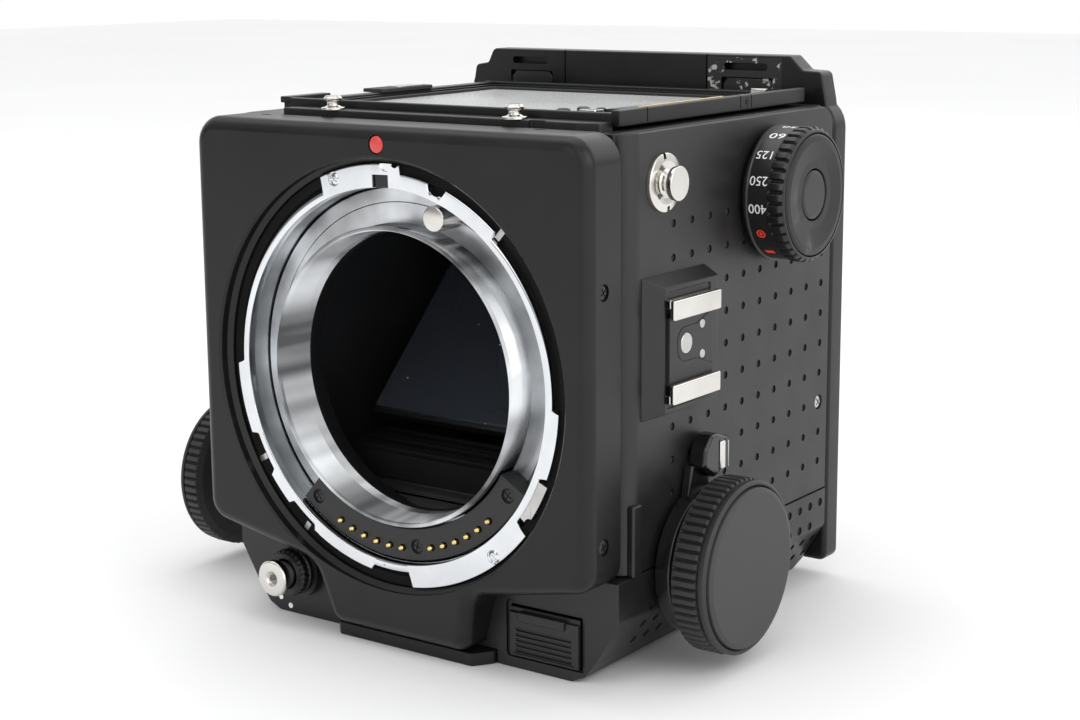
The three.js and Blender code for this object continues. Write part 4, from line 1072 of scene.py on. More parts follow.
def lock_lever():
    """A disc round the bush, a flat neck and a thick head with a bright strip let into its face."""
    low, high = box_mm("focus_lock_lever")
    inner, outer, top = low.x, high.x, high.z
    neck = inner + 1.9
    y, z = FOCUS_Y, FOCUS_Z
    disc = turned("lever_disc", [
        (7.5, inner), (15.6, inner, 0.3), (15.6, outer - 0.6, 0.6), (13.5, outer - 0.3, 0.3),
        (7.5, outer - 0.3),
    ], "x", (y, z), 120)
    stem_outline = [
        (y - 10, z + 10), (y - 5.6, z + 12.5, 3), (y - 3.9, top - 6), (y + 3, top - 7),
        (y + 2.6, z + 17, 3), (y + 7, z + 12),
    ]
    stem = prism("lever_stem", rounded(stem_outline, 5), "x", inner + 0.02, neck, 0.5, "high", 3)
    head_outline = [
        (y - 2.9, top - 6.5, 1.5), (y - 2.2, top - 2.5, 1.8), (y + 0.2, top, 1.4), (y + 2.8, top, 1.8),
        (y + 7, top - 1.5, 1.2), (y + 7.3, top - 8.2, 1.0), (y + 1.5, top - 9.4, 2),
    ]
    lever = prism("lock_lever_body", rounded(head_outline, 6), "x", inner + 0.04, outer, 0.8, "both", 4)
    boolean(lever, stem, "UNION")
    boolean(lever, disc, "UNION")
    tip_low, tip_high = box_mm("lock_lever_tip")
    for edge, width in ((tip_low.y - 0.35, 0.35), (tip_high.y + 0.02, 0.45)):
        cut(lever, block(
            "edge", outer - 1.0, outer + 1, edge, edge + width, tip_low.z - 0.4, tip_high.z + 0.4,
        ))
    show(lever, GLOSS, "focus_lock", ["focus_lock_lever"], angle=36)
    ends = (tip_low.x, tip_high.x + 0.15, tip_low.y, tip_high.y, tip_low.z, tip_high.z)
    tip = block("lock_lever_bright_tip", *ends, 0.3)
    show(tip, NICKEL, "focus_lock", ["lock_lever_tip"])
    # a thin pale metal strip on the head's rear edge: a painted highlight for the light caught by the glossy
    # black edge
    ends = (outer - 0.5, outer + 0.02, y + 6.75, y + 7.1, tip_low.z - 0.2, tip_high.z - 0.4)
    highlight_strip = block("lock_lever_painted_highlight", *ends, 0.12)
    show(highlight_strip, ALLOY, "focus_lock")


DIAL_STOPS = 15  # places round the dial
DIAL_FIRST = -7.5  # where 400 stands, in degrees above the level, seen from the front
DIGITS_WIDTH = 4.3  # of the widest number
DIAL_WORDS = ["400", "250", "125", "60", "30", "15", "8", "4", "2", "1", "2", "4"]


def skirt_text(name, words, angle, radius, x0, size, look):
    """Numbers wrapped on the dial's skirt, reading towards the body, with their feet turned rearwards."""
    curve = bpy.data.curves.new(name, "FONT")
    curve.body = words
    curve.size = size
    curve.align_y = "CENTER"
    curve.extrude = 0.04
    curve.resolution_u = 3
    source = bpy.data.objects.new(name + "_source", curve)
    bpy.context.scene.collection.objects.link(source)
    bpy.context.view_layer.update()
    mesh = bpy.data.meshes.new_from_object(source)
    bpy.data.objects.remove(source)
    width = max(v.co.x for v in mesh.vertices)
    for v in mesh.vertices:
        along, up, out = v.co
        turn = math.radians(angle) - up / radius
        reach = radius + out
        x = x0 - along * DIGITS_WIDTH / max(width, 3.2)
        v.co = Vector((x, DIAL_Y - reach * math.cos(turn), DIAL_Z + reach * math.sin(turn)))
    text = bpy.data.objects.new(name, mesh)
    bpy.context.scene.collection.objects.link(text)
    show(text, look, "speed_dial", angle=60)


def speed_dial():
    low, high = box_mm("speed_dial")
    inner, outer = low.x, high.x
    radius = (high.z - low.z) / 2
    skirt = radius - 0.3
    face_low, face_high = box_mm("dial_face")
    top = face_high.x
    rim = (face_high.z - face_low.z) / 2
    profile = [
        (6.8, inner, 0), (skirt - 1.2, inner, 0), (skirt - 1.2, inner + 0.9, 0),
        (skirt + 0.1, inner + 1.0, 0), (skirt + 0.35, inner + 1.2, 0), (skirt + 0.35, inner + 1.6, 0),
        (skirt, inner + 1.85, 0), (skirt, inner + 6.55, 0), (skirt + 0.15, inner + 6.7, 0.6),
        (radius, inner + 6.9, 1), (radius, inner + 9.0, 1), (radius - 0.1, inner + 9.4, 1),
        (radius - 0.4, inner + 9.75, 0.5), (radius - 0.65, inner + 9.95, 0),
        (radius - 0.75, outer + 0.1, 0), (rim + 0.3, outer + 0.2, 0), (rim + 0.25, outer - 1.3, 0),
        (6.8, outer - 1.3, 0),
    ]
    ribbed("dial_grip", DIAL, profile, 38, 0.8, "speed_dial", PLASTIC, ["speed_dial"], 12)
    lathe("dial_front", [
        (5.6, top - 1.4), (rim, top - 1.4), (rim, top - 0.35, 0.2), (rim - 0.5, top - 0.1, 0.3),
        (rim - 1.6, top, 0.8), (7.5, top - 0.45, 3), (5.75, top - 0.45, 0.15), (5.6, top - 0.7),
    ], "x", DIAL, 120, SCUFFED, "speed_dial", ["dial_face"])
    button_foot = box_mm("dial_button")[0].x
    lathe(
        "dial_lock_button",
        [
            (0, top - 0.38), (4.6, top - 0.40, 0.6), (5.3, top - 0.62, 0.25), (5.3, button_foot),
            (0, button_foot),
        ],
        "x", DIAL, 72, PLASTIC, "dial_button", ["dial_button"],
    )
    pitch = 360 / DIAL_STOPS
    for n, words in enumerate(DIAL_WORDS):
        skirt_text(f"dial_number_{n}", words, DIAL_FIRST + n * pitch, skirt, inner + 6.4, 2.9, WHITE_INK)
    square = [(0.7, -0.03), (1.05, -0.03), (1.05, 0.03), (0.7, 0.03)]
    ring = swept("dial_ring_mark", lambda turn: square, "y", (0, 0), 32)
    dot = prism("dial_dot_mark", circle(0, 0, 0.95 * 0.45, 24), "y", -0.03, 0.03)
    bar = prism("dial_bar_mark", rectangle(-1.1, 1.1, -0.55, 0.55, 0.2), "y", -0.03, 0.03)
    for mark, stops in ((ring, -1), (dot, -1), (bar, -2)):
        shifted(mark, 0, -skirt, 0)
        turn_about(mark, "x", -DIAL_FIRST - stops * pitch, (0, 0, 0))
        shifted(mark, inner + 4.1, DIAL_Y, DIAL_Z)
        show(mark, RED_INK, "speed_dial")


# ---------- strap lugs and shoe


def strap_lug(side, name):
    wall = side * (HALF + 0.05)
    low, high = box_mm(f"strap_lug_{name}")
    tip = high.x if side > 0 else low.x
    y = (low.y + high.y) / 2
    z = (low.z + high.z) / 2
    flange = turned(f"lug_flange_{name}", [
        (0, wall), (6.0, wall), (6.0, wall + side * 0.9, 0.3), (4.4, wall + side * 1.15, 0.2),
        (3.1, wall + side * 1.0, 0.2), (0, wall + side * 1.0),
    ], "x", (y, z), 72)
    for turn in (0, 180):
        notch = block("notch", wall - 2, wall + 2, y - 0.45, y + 0.45, z + 4.8, z + 7)
        turn_about(notch, "x", turn + 8, (0, y, z))
        cut(flange, notch)
    show(flange, NICKEL, "body", [f"strap_lug_{name}"])
    lathe(f"lug_stud_{name}", [
        (0, wall + side * 0.9), (2.9, wall + side * 0.9), (2.5, wall + side * 1.3, 0.15),
        (2.1, wall + side * 1.6, 0.15), (2.1, tip - side * 1.75, 0.15), (3.3, tip - side * 1.45, 0.15),
        (3.5, tip - side * 1.2, 0.1), (3.5, tip, 0.2), (0, tip),
    ], "x", (y, z), 56, NICKEL, "body")


def accessory_shoe():
    low, high = box_mm("shoe_block")
    wall = HALF + 0.02
    outline = rounded([(wall, low.y), (high.x, low.y + 3.6, 0.8), (high.x, high.y, 0.5), (wall, high.y)], 4)
    base = prism("shoe_base", outline, "z", low.z, high.z)
    profile = rounded([
        (wall, low.z), (high.x, low.z + 1.3, 0.4), (high.x, high.z - 2.1, 0.5), (wall, high.z),
    ], 4)
    boolean(base, prism("profile", profile, "y", low.y - 1, high.y + 1), "INTERSECT")
    pocket = prism(
        "pocket", rectangle(low.y + 4.2, high.y - 3.2, 57.2, 81.0, 0.6), "x", high.x - 0.3, high.x + 1,
    )
    cut(base, pocket)
    cut(base, block("slot", high.x - 2, high.x + 1, -31.0, -30.3, 73.2, 75.4))
    cut(base, block("slot", high.x - 2, high.x + 1, -31.0, -30.5, 69.6, 70.2))
    show(base, PLASTIC, "body", ["shoe_block"], edge=0.12)
    for name in ("upper", "lower"):
        one, two = box_mm(f"shoe_rail_{name}")
        rail = block(f"shoe_bright_rail_{name}", one.x + 0.9, two.x, one.y, two.y, one.z, two.z, 0.45, 4)
        show(rail, NICKEL, "body", [f"shoe_rail_{name}"])
        z0, z1 = (one.z + 2.4, two.z - 0.1) if name == "upper" else (one.z + 0.1, two.z - 2.4)
        foot = block(f"shoe_rail_foot_{name}", one.x - 0.35, one.x + 1.0, one.y + 0.1, two.y, z0, z1, 0.1, 1)
        show(foot, NICKEL, "body")
    plate_low, plate_high = box_mm("shoe_contact_plate")
    face = plate_high.x
    plate = block(
        "shoe_plate", face - 0.95, face, plate_low.y - 0.4, -14.6, plate_low.z - 0.9, plate_high.z + 0.9,
        0.12, 2,
    )
    outside = [
        (-28.6, 66.2, 3), (-21, 66.2), (-16, 64.4), (-14.4, 64.4), (-14.4, 75.3), (-16, 75.3), (-21, 73.6),
        (-28.6, 73.6, 3),
    ]
    kept = [
        (-28.35, 66.45, 2.8), (-21, 66.45), (-16, 64.65), (-14.0, 64.65), (-14.0, 75.05), (-16, 75.05),
        (-21, 73.35), (-28.35, 73.35, 2.8),
    ]
    groove = prism("groove", rounded(outside, 6), "x", face - 0.14, face + 1)
    boolean(groove, prism("keep", rounded(kept, 6), "x", face - 0.5, face + 2))
    cut(plate, groove)
    for y, z, radius in SHOE_CONTACTS:
        cut(plate, rod("well", radius + 0.12, "x", (y, z), face - 0.3, face + 1, steps=40))
    show(plate, COVER, "body", ["shoe_contact_plate"])
    for n, (y, z, radius) in enumerate(SHOE_CONTACTS):
        lathe(f"shoe_contact_{n + 1}", [
            (0, face + 0.05), (radius - 0.1, face + 0.05), (radius, face - 0.05), (radius, face - 0.4),
            (0, face - 0.4),
        ], "x", (y, z), 40, STEEL, "body")


# ---------- top


def top_plate():
    half = cover_high.x - 2.75
    outline = rectangle(-half, half, FRONT, REAR, 1.0)
    plate = prism("top_deck", outline, "z", TOP - 3.4, TOP, 0.3, "high", 3)
    cut(plate, block("opening", -38, 38, -31, 37, TOP - 9, TOP + 1))
    trough = prism("trough", rectangle(-38, 43, -40.0, -36.6, 0.8), "z", TOP - 0.6, TOP + 1)
    cut(plate, trough)
    show(plate, COVER, "body", ["top_plate"], edge=0.15)
    sill = prism("front_sill", rounded([
        (-38, -40.3, 0.6), (40, -40.3, 0.6), (45, -39.0, 1), (45, -34.6, 0.4), (-38, -34.6, 0.4),
    ], 4), "z", TOP - 0.3, TOP + 1.8, 0.3, "high", 3)
    cut(sill, prism("notch", rectangle(28.5, 32.5, -42, -39.4, 0.4), "z", TOP - 1, TOP + 3))
    show(sill, PLASTIC, "body")


FINDER_INSET = 3.6  # the bars stop short of the left edge of their CAD box


def finder_frame():
    low, high = box_mm("finder_frame")
    low.x += FINDER_INSET
    rail = 3.5
    inner = high.x - 8
    bed_top = high.z - 1.2
    bed = block("finder_bed", low.x + 0.6, high.x, low.y + 0.4, high.y, low.z, bed_top, 0.3)
    cut(bed, block("opening", -inner, inner, low.y + rail, high.y - rail, low.z - 1, high.z + 1))
    cut(bed, block("channel", 38.6, 44.8, -24.6, 17.2, bed_top - 0.6, high.z + 1))
    section = [
        (low.y, low.z, 0.2), (low.y, high.z, 0.5), (low.y + 1.6, high.z, 0.4),
        (low.y + 2.2, bed_top - 0.5),
    ]
    front = prism("front_wall", rounded(section, 4), "x", low.x + 1.6, high.x + 0.6, 0.3, "both", 2)
    right = block(
        "right_wall", high.x - 1.4, high.x + 0.7, low.y, high.y + 2, low.z + 0.1, high.z + 0.55, 0.35,
    )
    left = block(
        "left_wall", low.x - 0.3, low.x + 3.0, low.y + 0.2, high.y + 2, low.z + 0.1, bed_top + 0.5, 0.35,
    )
    rear = block("rear_wall", low.x, high.x, high.y - 1.2, high.y + 2, low.z + 0.1, bed_top + 0.7, 0.35)
    for y in (-24.7, 12.7, 17.4):
        cut(right, block("seam", high.x - 3, high.x + 2, y - 0.16, y + 0.16, low.z + 0.6, high.z + 2))
    cut(right, rod("ring_screw", 0.95, "x", RING_SCREW, high.x + 0.3, high.x + 2, steps=24))
    show(bed, PAINT, "body", ["finder_frame"])
    for name, wall in (("front", front), ("right", right), ("left", left), ("rear", rear)):
        wall.name = f"finder_{name}_wall"
        show(wall, PAINT, "body")
    lathe("rail_ring_screw", [
        (0, high.x + 0.4), (0.42, high.x + 0.4), (0.5, high.x + 0.62), (0.86, high.x + 0.62),
        (0.86, high.x + 0.2), (0, high.x + 0.2),
    ], "x", RING_SCREW, 24, PLASTIC, "body")
    tab = block(
        "left_corner_tab", low.x - 1.2, low.x + 1.6, low.y + 0.1, low.y + 14, bed_top, high.z + 0.2, 0.25,
    )
    show(tab, PAINT, "body")
    spring = prism(
        "left_spring_plate",
        rounded([
            (low.x - 3, -5, 1), (low.x + 3.5, -5, 0.5), (low.x + 3.5, 14, 0.5), (low.x - 2, 14, 2),
        ], 4),
        "z", bed_top + 0.5, high.z + 0.1, 0.2, "high", 2,
    )
    show(spring, MATTE, "body")
    outline = rectangle(low.x - 1.6, low.x + 2.4, 2.5, 11.5, 0.6)
    clip = prism("left_spring_edge", outline, "z", high.z + 0.05, high.z + 0.3, 0.08, "high", 2)
    show(clip, STEEL, "body")
    lip = block("screen_mask", -inner, inner, low.y + rail, high.y - rail, TOP + 0.1, TOP + 1.95)
    pane_front = box_mm("focusing_screen")[0].y
    window = rectangle(-inner + 1.6, inner - 1.2, pane_front + 1, high.y - rail - 1.2, 1.2)
    cut(lip, prism("window", window, "z", 100, 120))
    show(lip, MATTE, "body", edge=0.15)


def screen():
    low, high = box_mm("focusing_screen")
    pane = prism(
        "focusing_screen_glass", rectangle(low.x, high.x, low.y, high.y, 1.0), "z", low.z, high.z - 0.3,
        0.3, "both", 2,
    )
    show(pane, SCREEN, "body", ["focusing_screen"])


def finder_fittings():
    low, high = box_mm("finder_contact_strip")
    bed = block(
        "contact_strip_bed", low.x - 1.3, high.x + 0.4, low.y - 1.0, high.y + 0.6, low.z - 1.0,
        low.z - 0.05, 0.1, 1,
    )
    show(bed, PLASTIC, "body")
    lines = []
    for k, x in enumerate((39.9, 41.2, 42.5)):
        lines.append(block(
            "line", x, x + 0.62, low.y + 2 * k, high.y - 1.5 * k, low.z - 0.1, high.z - 0.15, 0.12, 2,
        ))
    strip = joined("gold_finder_contacts", *lines)
    show(strip, GOLD, "body", ["finder_contact_strip"])
    z = SCREEN_FITTINGS
    for n, (x, y, radius) in enumerate((
        (25.5, -23.8, 1.5), (29.5, -21.6, 1.35), (26.8, -18.3, 1.4), (31.6, -18.8, 1.2),
    )):
        lathe(
            f"screen_release_disc_{n + 1}",
            [
                (0, z + 1.5), (radius * 0.6, z + 1.5), (radius, z + 1.25, 0.15), (radius, z - 0.4),
                (0, z - 0.4),
            ],
            "z", (x, y), 32, PLASTIC, "body",
        )
    corners = [(30.2, -25.6, 0.4), (34.2, -25.0, 0.4), (34.8, -22.2, 0.5), (31.4, -22.6, 0.4)]
    bright = prism("screen_clip", rounded(corners, 3), "z", z, z + 1.5, 0.15, "high", 2)
    show(bright, NICKEL, "body")
    arm = prism("screen_latch_arm", rounded([
        (33.0, -19.6, 0.4), (36.4, -18.0, 0.6), (37.2, -3.8, 0.8), (34.6, -4.2, 0.6),
    ], 4), "z", z, z + 1.35, 0.2, "high", 2)
    show(arm, PLASTIC, "body")
    tab = block("rear_bright_tab", 36.2, 40.0, 35.4, 37.4, 115.4, 116.9, 0.25)
    show(tab, NICKEL, "body")
    foot = TOP + 1.85
    for _, name in SIDES:
        pin = centre_of(f"finder_pin_{name}")
        lathe(f"finder_stud_{name}", [
            (0, foot), (2.6, foot), (2.6, foot + 0.45, 0.15), (1.7, foot + 0.6, 0.1),
            (1.35, foot + 0.85, 0.15), (1.3, foot + 1.75, 0.15), (1.95, foot + 2.05, 0.15),
            (2.0, foot + 2.5, 0.15), (1.7, foot + 2.75, 0.1), (1.6, foot + 2.95, 0.1), (0, foot + 2.95),
        ], "z", (pin.x, pin.y), 48, NICKEL, "body", [f"finder_pin_{name}"])


# ---------- revolving adapter


def adapter_plate():
    front, back = adapter_low.y, adapter_high.y
    half = adapter_high.x
    top = 114.5
    corners = [(-half, adapter_low.z, 2), (half, adapter_low.z, 2), (half, top, 7), (-half, top, 7)]
    plate = prism("adapter_plate", rounded(corners, 8), "y", front, back, 1.2, "both", 4)
    rail_back = back - 1
    rail = prism("rail", rounded([
        (-half + 1, top - 9), (-half + 0.6, 115.2, 1), (-51.0, 116.4, 1), (-50.4, 119.6, 1.2),
        (-46.6, 120.2, 1.0), (-44.8, adapter_high.z, 1.6), (40.3, adapter_high.z, 1.2), (43.6, 120.6, 1.5),
        (48.4, 120.4, 1.4), (49.6, 114.5, 1), (half - 1, top - 9),
    ], 5), "y", front - 0.05, rail_back, 0.5, "both", 3)
    boolean(plate, rail, "UNION")
    cutters = [
        rod("bearing_room", 48.8, "y", LENS_AXIS, front - 1, front + 3.1, steps=96),
        block("gate", -37, 37, front - 2, back + 2, AXIS_Z - 37, AXIS_Z + 37),
        block("latch_groove", -41, 41, 49.2, back + 2, 118.6, 122.1),
    ]
    for x in (-22.6, 18.2):
        cutters.append(block("seam", x - 0.18, x + 0.18, front - 1, front + 0.35, 113.5, adapter_high.z + 1))
    for x0, x1 in RAIL_SLOTS:
        cutters.append(prism("slot", rectangle(x0, x1, 120.2, 121.9, 0.8), "y", front - 1, front + 2.4))
        cutters.append(prism(
            "pocket", rectangle(x0 - 0.6, x1 + 1.4, 115.6, 118.6, 0.5), "y", front - 1, front + 1.2,
        ))
    cut(plate, *cutters)
    show(plate, PAINT, "adapter", ["revolving_adapter"], angle=28)
    for name, x0, x1, look in (("left", -39.3, -26.4, PLASTIC), ("right", 22.3, 36.0, CHIPPED)):
        outline = [
            (x0 + 0.3, 114.4), (x0 + 0.3, 117.0, 0.4), (x0 + 1.6, 118.4, 0.6), (x1 - 1.4, 118.4, 0.6),
            (x1 - 0.2, 117.2, 0.4), (x1 - 0.2, 114.4),
        ]
        pawl = prism(
            f"holder_pawl_{name}", rounded(outline, 4), "y", front + 0.1, front + 1.1, 0.25, "low", 3,
        )
        show(pawl, look, "adapter")
    chip_plate = block("right_latch_face", 18.5, 38.4, front - 0.16, front + 0.3, 114.6, 123.2, 0.14, 2)
    slot = rectangle(*RAIL_SLOTS[1], 120.2, 121.9, 0.8)
    pocket = rectangle(22.3, 36.0, 114, 118.6, 0.5)
    for outline in (slot, pocket):
        cut(chip_plate, prism("slot", outline, "y", front - 1, front + 2))
    show(chip_plate, CHIPPED, "adapter")
    low, high = box_mm("holder_latch_bar")
    bar = block("latch_slide", low.x, high.x, low.y, high.y, low.z, high.z, 0.3)
    for x in (-20, 0, 20):
        cut(bar, block("notch", x - 2, x + 2, high.y - 0.7, high.y + 1, low.z - 1, low.z + 1.0))
    show(bar, STEEL, "holder_latch", ["holder_latch_bar"])
    lathe(
        "adapter_bearing", [(45.4, 46.0), (48.4, 46.0), (48.4, 49.0, 0.2), (45.4, 49.0, 0.2)], "y",
        LENS_AXIS, 160, STEEL, "body", ["adapter_bearing_ring"],
    )
    outside = rectangle(-38.6, 38.6, AXIS_Z - 38.6, AXIS_Z + 38.6, 2)
    inside = rectangle(-37.2, 37.2, AXIS_Z - 37.2, AXIS_Z + 37.2, 1)
    seal = prism("light_seal", outside, "y", back - 0.4, back + 0.25, 0.1, "high", 1)
    cut(seal, prism("inside", inside, "y", back - 2, back + 2))
    show(seal, DARK, "adapter")
    for n, (x, z) in enumerate(((-44, 14), (44, 14), (-44, 106), (44, 106))):
        name = f"adapter_screw_{n + 1}"
        cross_screw(name, x, back + 0.02, z, "y", 1, 1.8, PLASTIC, "adapter", 25 * n, 0.2)


# ---------- inside


INNER_NODES = {  # finish and edge rounding of the CAD nodes that show as they are
    "main_chassis": (MATTE, 0.2),
    "bellows_front_frame": (MATTE, 0.15),
    "mirror_frame": (PLASTIC, 0.25),
    "rear_shield_door": (MATTE, 0.3),
    "focus_carriage": (ALLOY, 0.2),
    "focus_shaft": (STEEL, 0.15),
    "focus_rack_right": (STEEL, 0.08),
    "focus_rack_left": (STEEL, 0.08),
    "pinion_right": (STEEL, 0.08),
    "pinion_left": (STEEL, 0.08),
    "battery": (NICKEL, 0.15),
    "lower_baffle": (DARK, 0.3),
    "mirror_glass": (MIRROR, 0),
    "tripod_socket": (STEEL, 0),
    "cocking_lever_pad": (RUBBER, 0.7),
}
MIRROR_TILT = 45  # degrees


def inner_parts():
    for node, (look, edge) in INNER_NODES.items():
        dress(node, look, edge)
    low, high = box_mm("lower_baffle")
    ribs = []
    for k in range(5):
        y = low.y + 1.5 + k * 3.6
        z = high.z - 0.4 - (k % 2) * 0.3
        ribs.append(block("rib", low.x + 0.5, high.x - 0.5, y, y + 1.3, z, z + 1.2, 0.3, 2))
    show(joined("baffle_ribs", *ribs), DARK, "body")
    glass_low = box_mm("mirror_glass")[0]
    clip = block("mirror_clip", 25.5, 33.0, -2.6, 3.4, 0.2, 1.1, 0.3)
    turn_about(clip, "x", MIRROR_TILT, (0, 0, 0))
    shifted(clip, 0, glass_low.y + 1.6, glass_low.z + 0.5)
    show(clip, STEEL, "mirror")


def bellows():
    """A square concertina; its folds are spaced along it by an eased curve."""
    low, high = box_mm("bellows")
    half = high.x - 0.2
    z_low, z_high = low.z + 0.2, high.z - 0.2
    rear, front = high.y - 0.15, low.y + 0.15
    pleats, depth = 8, 5.6
    skin = 0.14
    bm = bmesh.new()

    def position(share):
        """Where along the closed bellows a point lies that takes this share of the travel."""
        t = share
        for _ in range(12):
            t -= (t * t * (3 - 2 * t) - share) / max(6 * t * (1 - t), 0.05)
            t = min(1, max(0, t))
        return rear + (front - rear) * t

    def outline(inset, radius):
        return rectangle(-half + inset, half - inset, z_low + inset, z_high - inset, radius)

    def wall(one, two, facing_in):
        for i in range(len(one)):
            j = (i + 1) % len(one)
            rest = (two[i], two[j], one[j]) if facing_in else (one[j], two[j], two[i])
            bm.faces.new((one[i], *rest))

    count = pleats * 4
    rings, inner_rings = [], []
    for layer, gap, radius in ((rings, 0, 2.5), (inner_rings, skin, 2.4)):
        for k in range(count + 1):
            inset = depth * (1 - math.cos(2 * math.pi * (k / 4 % 1))) / 2
            y = position(k / count)
            loop = outline(inset + gap, radius + inset * 0.5)
            layer.append([bm.verts.new((x, y, z)) for x, z in loop])
    for one, two in zip(rings, rings[1:]):
        wall(one, two, False)
    for one, two in zip(inner_rings, inner_rings[1:]):
        wall(one, two, True)
    for end in (0, -1):
        wall(rings[end], inner_rings[end], True)
    piece = from_bmesh("bellows_folds", bm)
    skinned(piece, SKIN)
    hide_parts("bellows")
    end = (0, front * MM, AXIS_Z * MM)
    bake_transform(piece)


# ---------- winding side


def winding_side():
    low, high = box_mm("winding_cover")
    outline = rounded([(low.y, low.z, 2), (high.y, low.z, 2), (high.y, high.z, 8), (low.y, high.z, 8)], 7)
    cover = prism("winding_housing", outline, "x", low.x, high.x, 1.6, "low", 4)
    cut(cover, block("room", low.x + 2, high.x + 1, low.y + 2, high.y - 2, low.z + 2, high.z - 8))
    cut(cover, rod("neck_hole", 9.7, "x", FOCUS, low.x - 1, high.x + 1, steps=64))
    lever_low, lever_high = box_mm("cocking_lever")
    ring = [(9.6, low.x - 1), (10.2, low.x - 1), (10.2, low.x + 0.3), (9.6, low.x + 0.3)]
    seat = turned("seat", ring, "x", HUB, 64)
    cut(cover, seat)
    for y in (high.y - 7, low.y + 8):
        cut(cover, rod("seat", 1.75, "x", (y, high.z - 12), low.x - 1, low.x + 0.4, steps=28))
    show(cover, COVER, "body", ["winding_cover"])
    for n, y in enumerate((high.y - 7, low.y + 8)):
        cross_screw(
            f"winding_screw_{n + 1}", low.x + 0.38, y, high.z - 12, "x", -1, 1.6, STEEL, "body", 30 * n,
            0.3,
        )
    x0, x1 = lever_low.x, lever_high.x
    hub = turned("hub", [
        (0, x1), (9.0, x1), (9.0, x0 + 0.9, 0.3), (8.2, x0, 0.3), (5.0, x0), (4.6, x0 + 0.5),
        (0, x0 + 0.5),
    ], "x", HUB, 80)
    length = 42
    arm = prism("cocking_lever_arm", rounded([
        (HUB_Y - 6.5, HUB_Z - 1), (HUB_Y + 6.5, HUB_Z - 1), (HUB_Y + 4.6, HUB_Z + length - 7, 8),
        (HUB_Y + 4.6, HUB_Z + length, 4), (HUB_Y - 4.2, HUB_Z + length, 4),
        (HUB_Y - 4.2, HUB_Z + length - 7, 8),
    ], 6), "x", x0 + 0.6, x1 - 0.6, 0.9, "both", 4)
    boolean(arm, hub, "UNION")
    pad = centre_of("cocking_lever_pad")
    rest_turn = -math.degrees(math.atan2(pad.y - HUB_Y, pad.z - HUB_Z))
    turn_about(arm, "x", rest_turn, (0, HUB_Y, HUB_Z))
    show(arm, PLASTIC, "cocking_lever", ["cocking_lever"], angle=36)
    cap = turned("lever_hub_screw", [
        (0, x0 - 0.35), (4.2, x0 - 0.3, 0.4), (4.5, x0 + 0.3), (4.5, x0 + 0.8), (0, x0 + 0.8),
    ], "x", HUB, 56)
    cut(cap, block("slot", x0 - 2, x0 + 0.15, HUB_Y - 3.2, HUB_Y + 3.2, HUB_Z - 0.35, HUB_Z + 0.35))
    show(cap, STEEL, "cocking_lever")


# ---------- stage


FLOOR_HALF = 3.0  # metres
LAMP_AIM = (0, 0, 0.06)
LAMPS = {  # place, width and height in metres, and watts
    "key_right": ((1.1, -0.15, 0.75), 0.9, 0.9, 4),
    "top_soft": ((-0.2, 0.1, 1.3), 1.1, 1.1, 4),
    "front_low": ((-0.35, -1.2, 0.5), 0.5, 0.7, 1.5),
}
DARK_SIDE = math.radians(-36)  # where the room is darkest, from straight in front
AZIMUTH, ELEVATION, ROLL = (math.radians(a) for a in (36.032, 11.081, -0.478))
TARGET = Vector((0.0, -0.004, 0.060884))
DISTANCE = 0.452942
FOCAL_LENGTH = 66.265
SHIFT = (0.01663, -0.01797)


def stage():
    floor = prism("floor", rectangle(-FLOOR_HALF, FLOOR_HALF, -FLOOR_HALF, FLOOR_HALF), "z", -0.02, 0)
    floor.data.materials.append(floor_paper())


def lamps():
    for name, (place, width, height, power) in LAMPS.items():
        lamp = bpy.data.lights.new(name, "AREA")
        lamp.shape = "RECTANGLE"
        lamp.size = width
        lamp.size_y = height
        lamp.energy = power
        made = bpy.data.objects.new(name, lamp)
        bpy.context.scene.collection.objects.link(made)
        made.location = place
        made.rotation_euler = (Vector(LAMP_AIM) - Vector(place)).to_track_quat("-Z", "Y").to_euler()


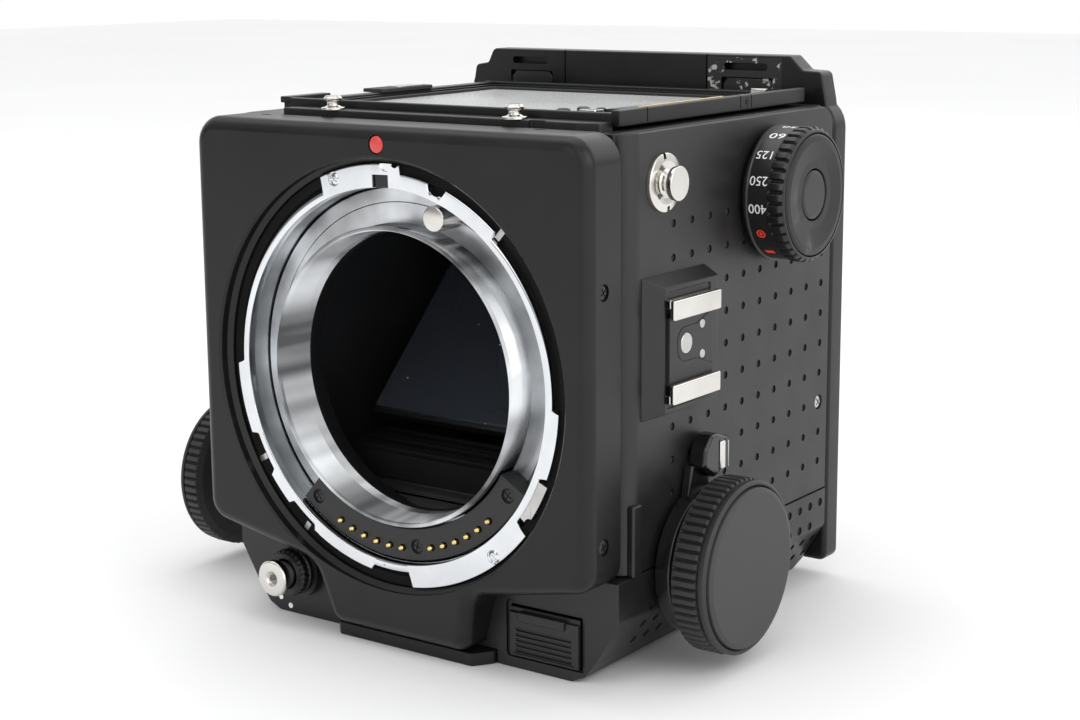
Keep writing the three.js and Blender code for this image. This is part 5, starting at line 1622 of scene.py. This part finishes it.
def room():
    """A white room, which reflections show as patchy and darker towards the front left."""
    world = bpy.data.worlds.new("white_room")
    bpy.context.scene.world = world
    world.use_nodes = True
    look = Nodes(world.node_tree)
    background = look.tree.nodes["Background"].inputs
    background["Color"].default_value = (1, 1, 1, 1)
    dot = look.add("VectorMath", operation="DOT_PRODUCT")
    look.link(look.place.outputs["Generated"], dot.inputs[0])
    dot.inputs[1].default_value = (math.sin(DARK_SIDE), -math.cos(DARK_SIDE), 0)
    slope = look.spread(dot.outputs["Value"], 1.35, 0.42, 0.3, 0.9)
    patches = look.add("TexNoise", Scale=1.7, Detail=1.0)
    look.link(look.place.outputs["Generated"], patches.inputs["Vector"])
    level = look.product(slope, look.spread(patches.outputs["Fac"], 0.45, 1.25, 0.38, 0.6))
    path = look.add("LightPath")
    shiny = look.add("Mix")
    look.link(path.outputs["Is Glossy Ray"], shiny.inputs["Factor"])
    shiny.inputs["A"].default_value = 1.0
    look.link(level, shiny.inputs["B"])
    look.link(shiny.outputs["Result"], background["Strength"])


def camera():
    level = math.cos(ELEVATION)
    back = Vector((math.sin(AZIMUTH) * level, -math.cos(AZIMUTH) * level, math.sin(ELEVATION)))
    right = Vector((math.cos(AZIMUTH), math.sin(AZIMUTH), 0))
    up = back.cross(right)
    rolled_right = right * math.cos(ROLL) + up * math.sin(ROLL)
    rolled_up = up * math.cos(ROLL) - right * math.sin(ROLL)
    lens = bpy.data.cameras.new("camera")
    lens.lens = FOCAL_LENGTH
    lens.sensor_width = 36
    lens.shift_x, lens.shift_y = SHIFT
    lens.clip_start = 0.02
    made = bpy.data.objects.new("camera", lens)
    bpy.context.scene.collection.objects.link(made)
    columns = zip(rolled_right, rolled_up, back, TARGET + back * DISTANCE)
    made.matrix_world = Matrix((*columns, (0, 0, 0, 1)))
    bpy.context.scene.camera = made
    bpy.context.scene.view_settings.view_transform = "Standard"


# ---------- building it

for build in (front_panel, index_dot, mount_flange, mount_seat, mount_barrel, throat):
    build()
for build in (cocking_ring, contacts):
    build()
for side, name in SIDES:
    side_cover(side, name)
for side, name in SIDES:
    front_strip(side, name)
for build in (base_housing, release_group, battery_cover, base_plate):
    build()
for side, name in SIDES:
    focus_knob(side, name)
for side, name in SIDES:
    bush(side, name)
lock_lever()
speed_dial()
for side, name in SIDES:
    strap_lug(side, name)
for build in (accessory_shoe, top_plate, finder_frame, screen, finder_fittings, adapter_plate):
    build()
for build in (inner_parts, bellows, winding_side, stage, room, lamps, camera):
    build()
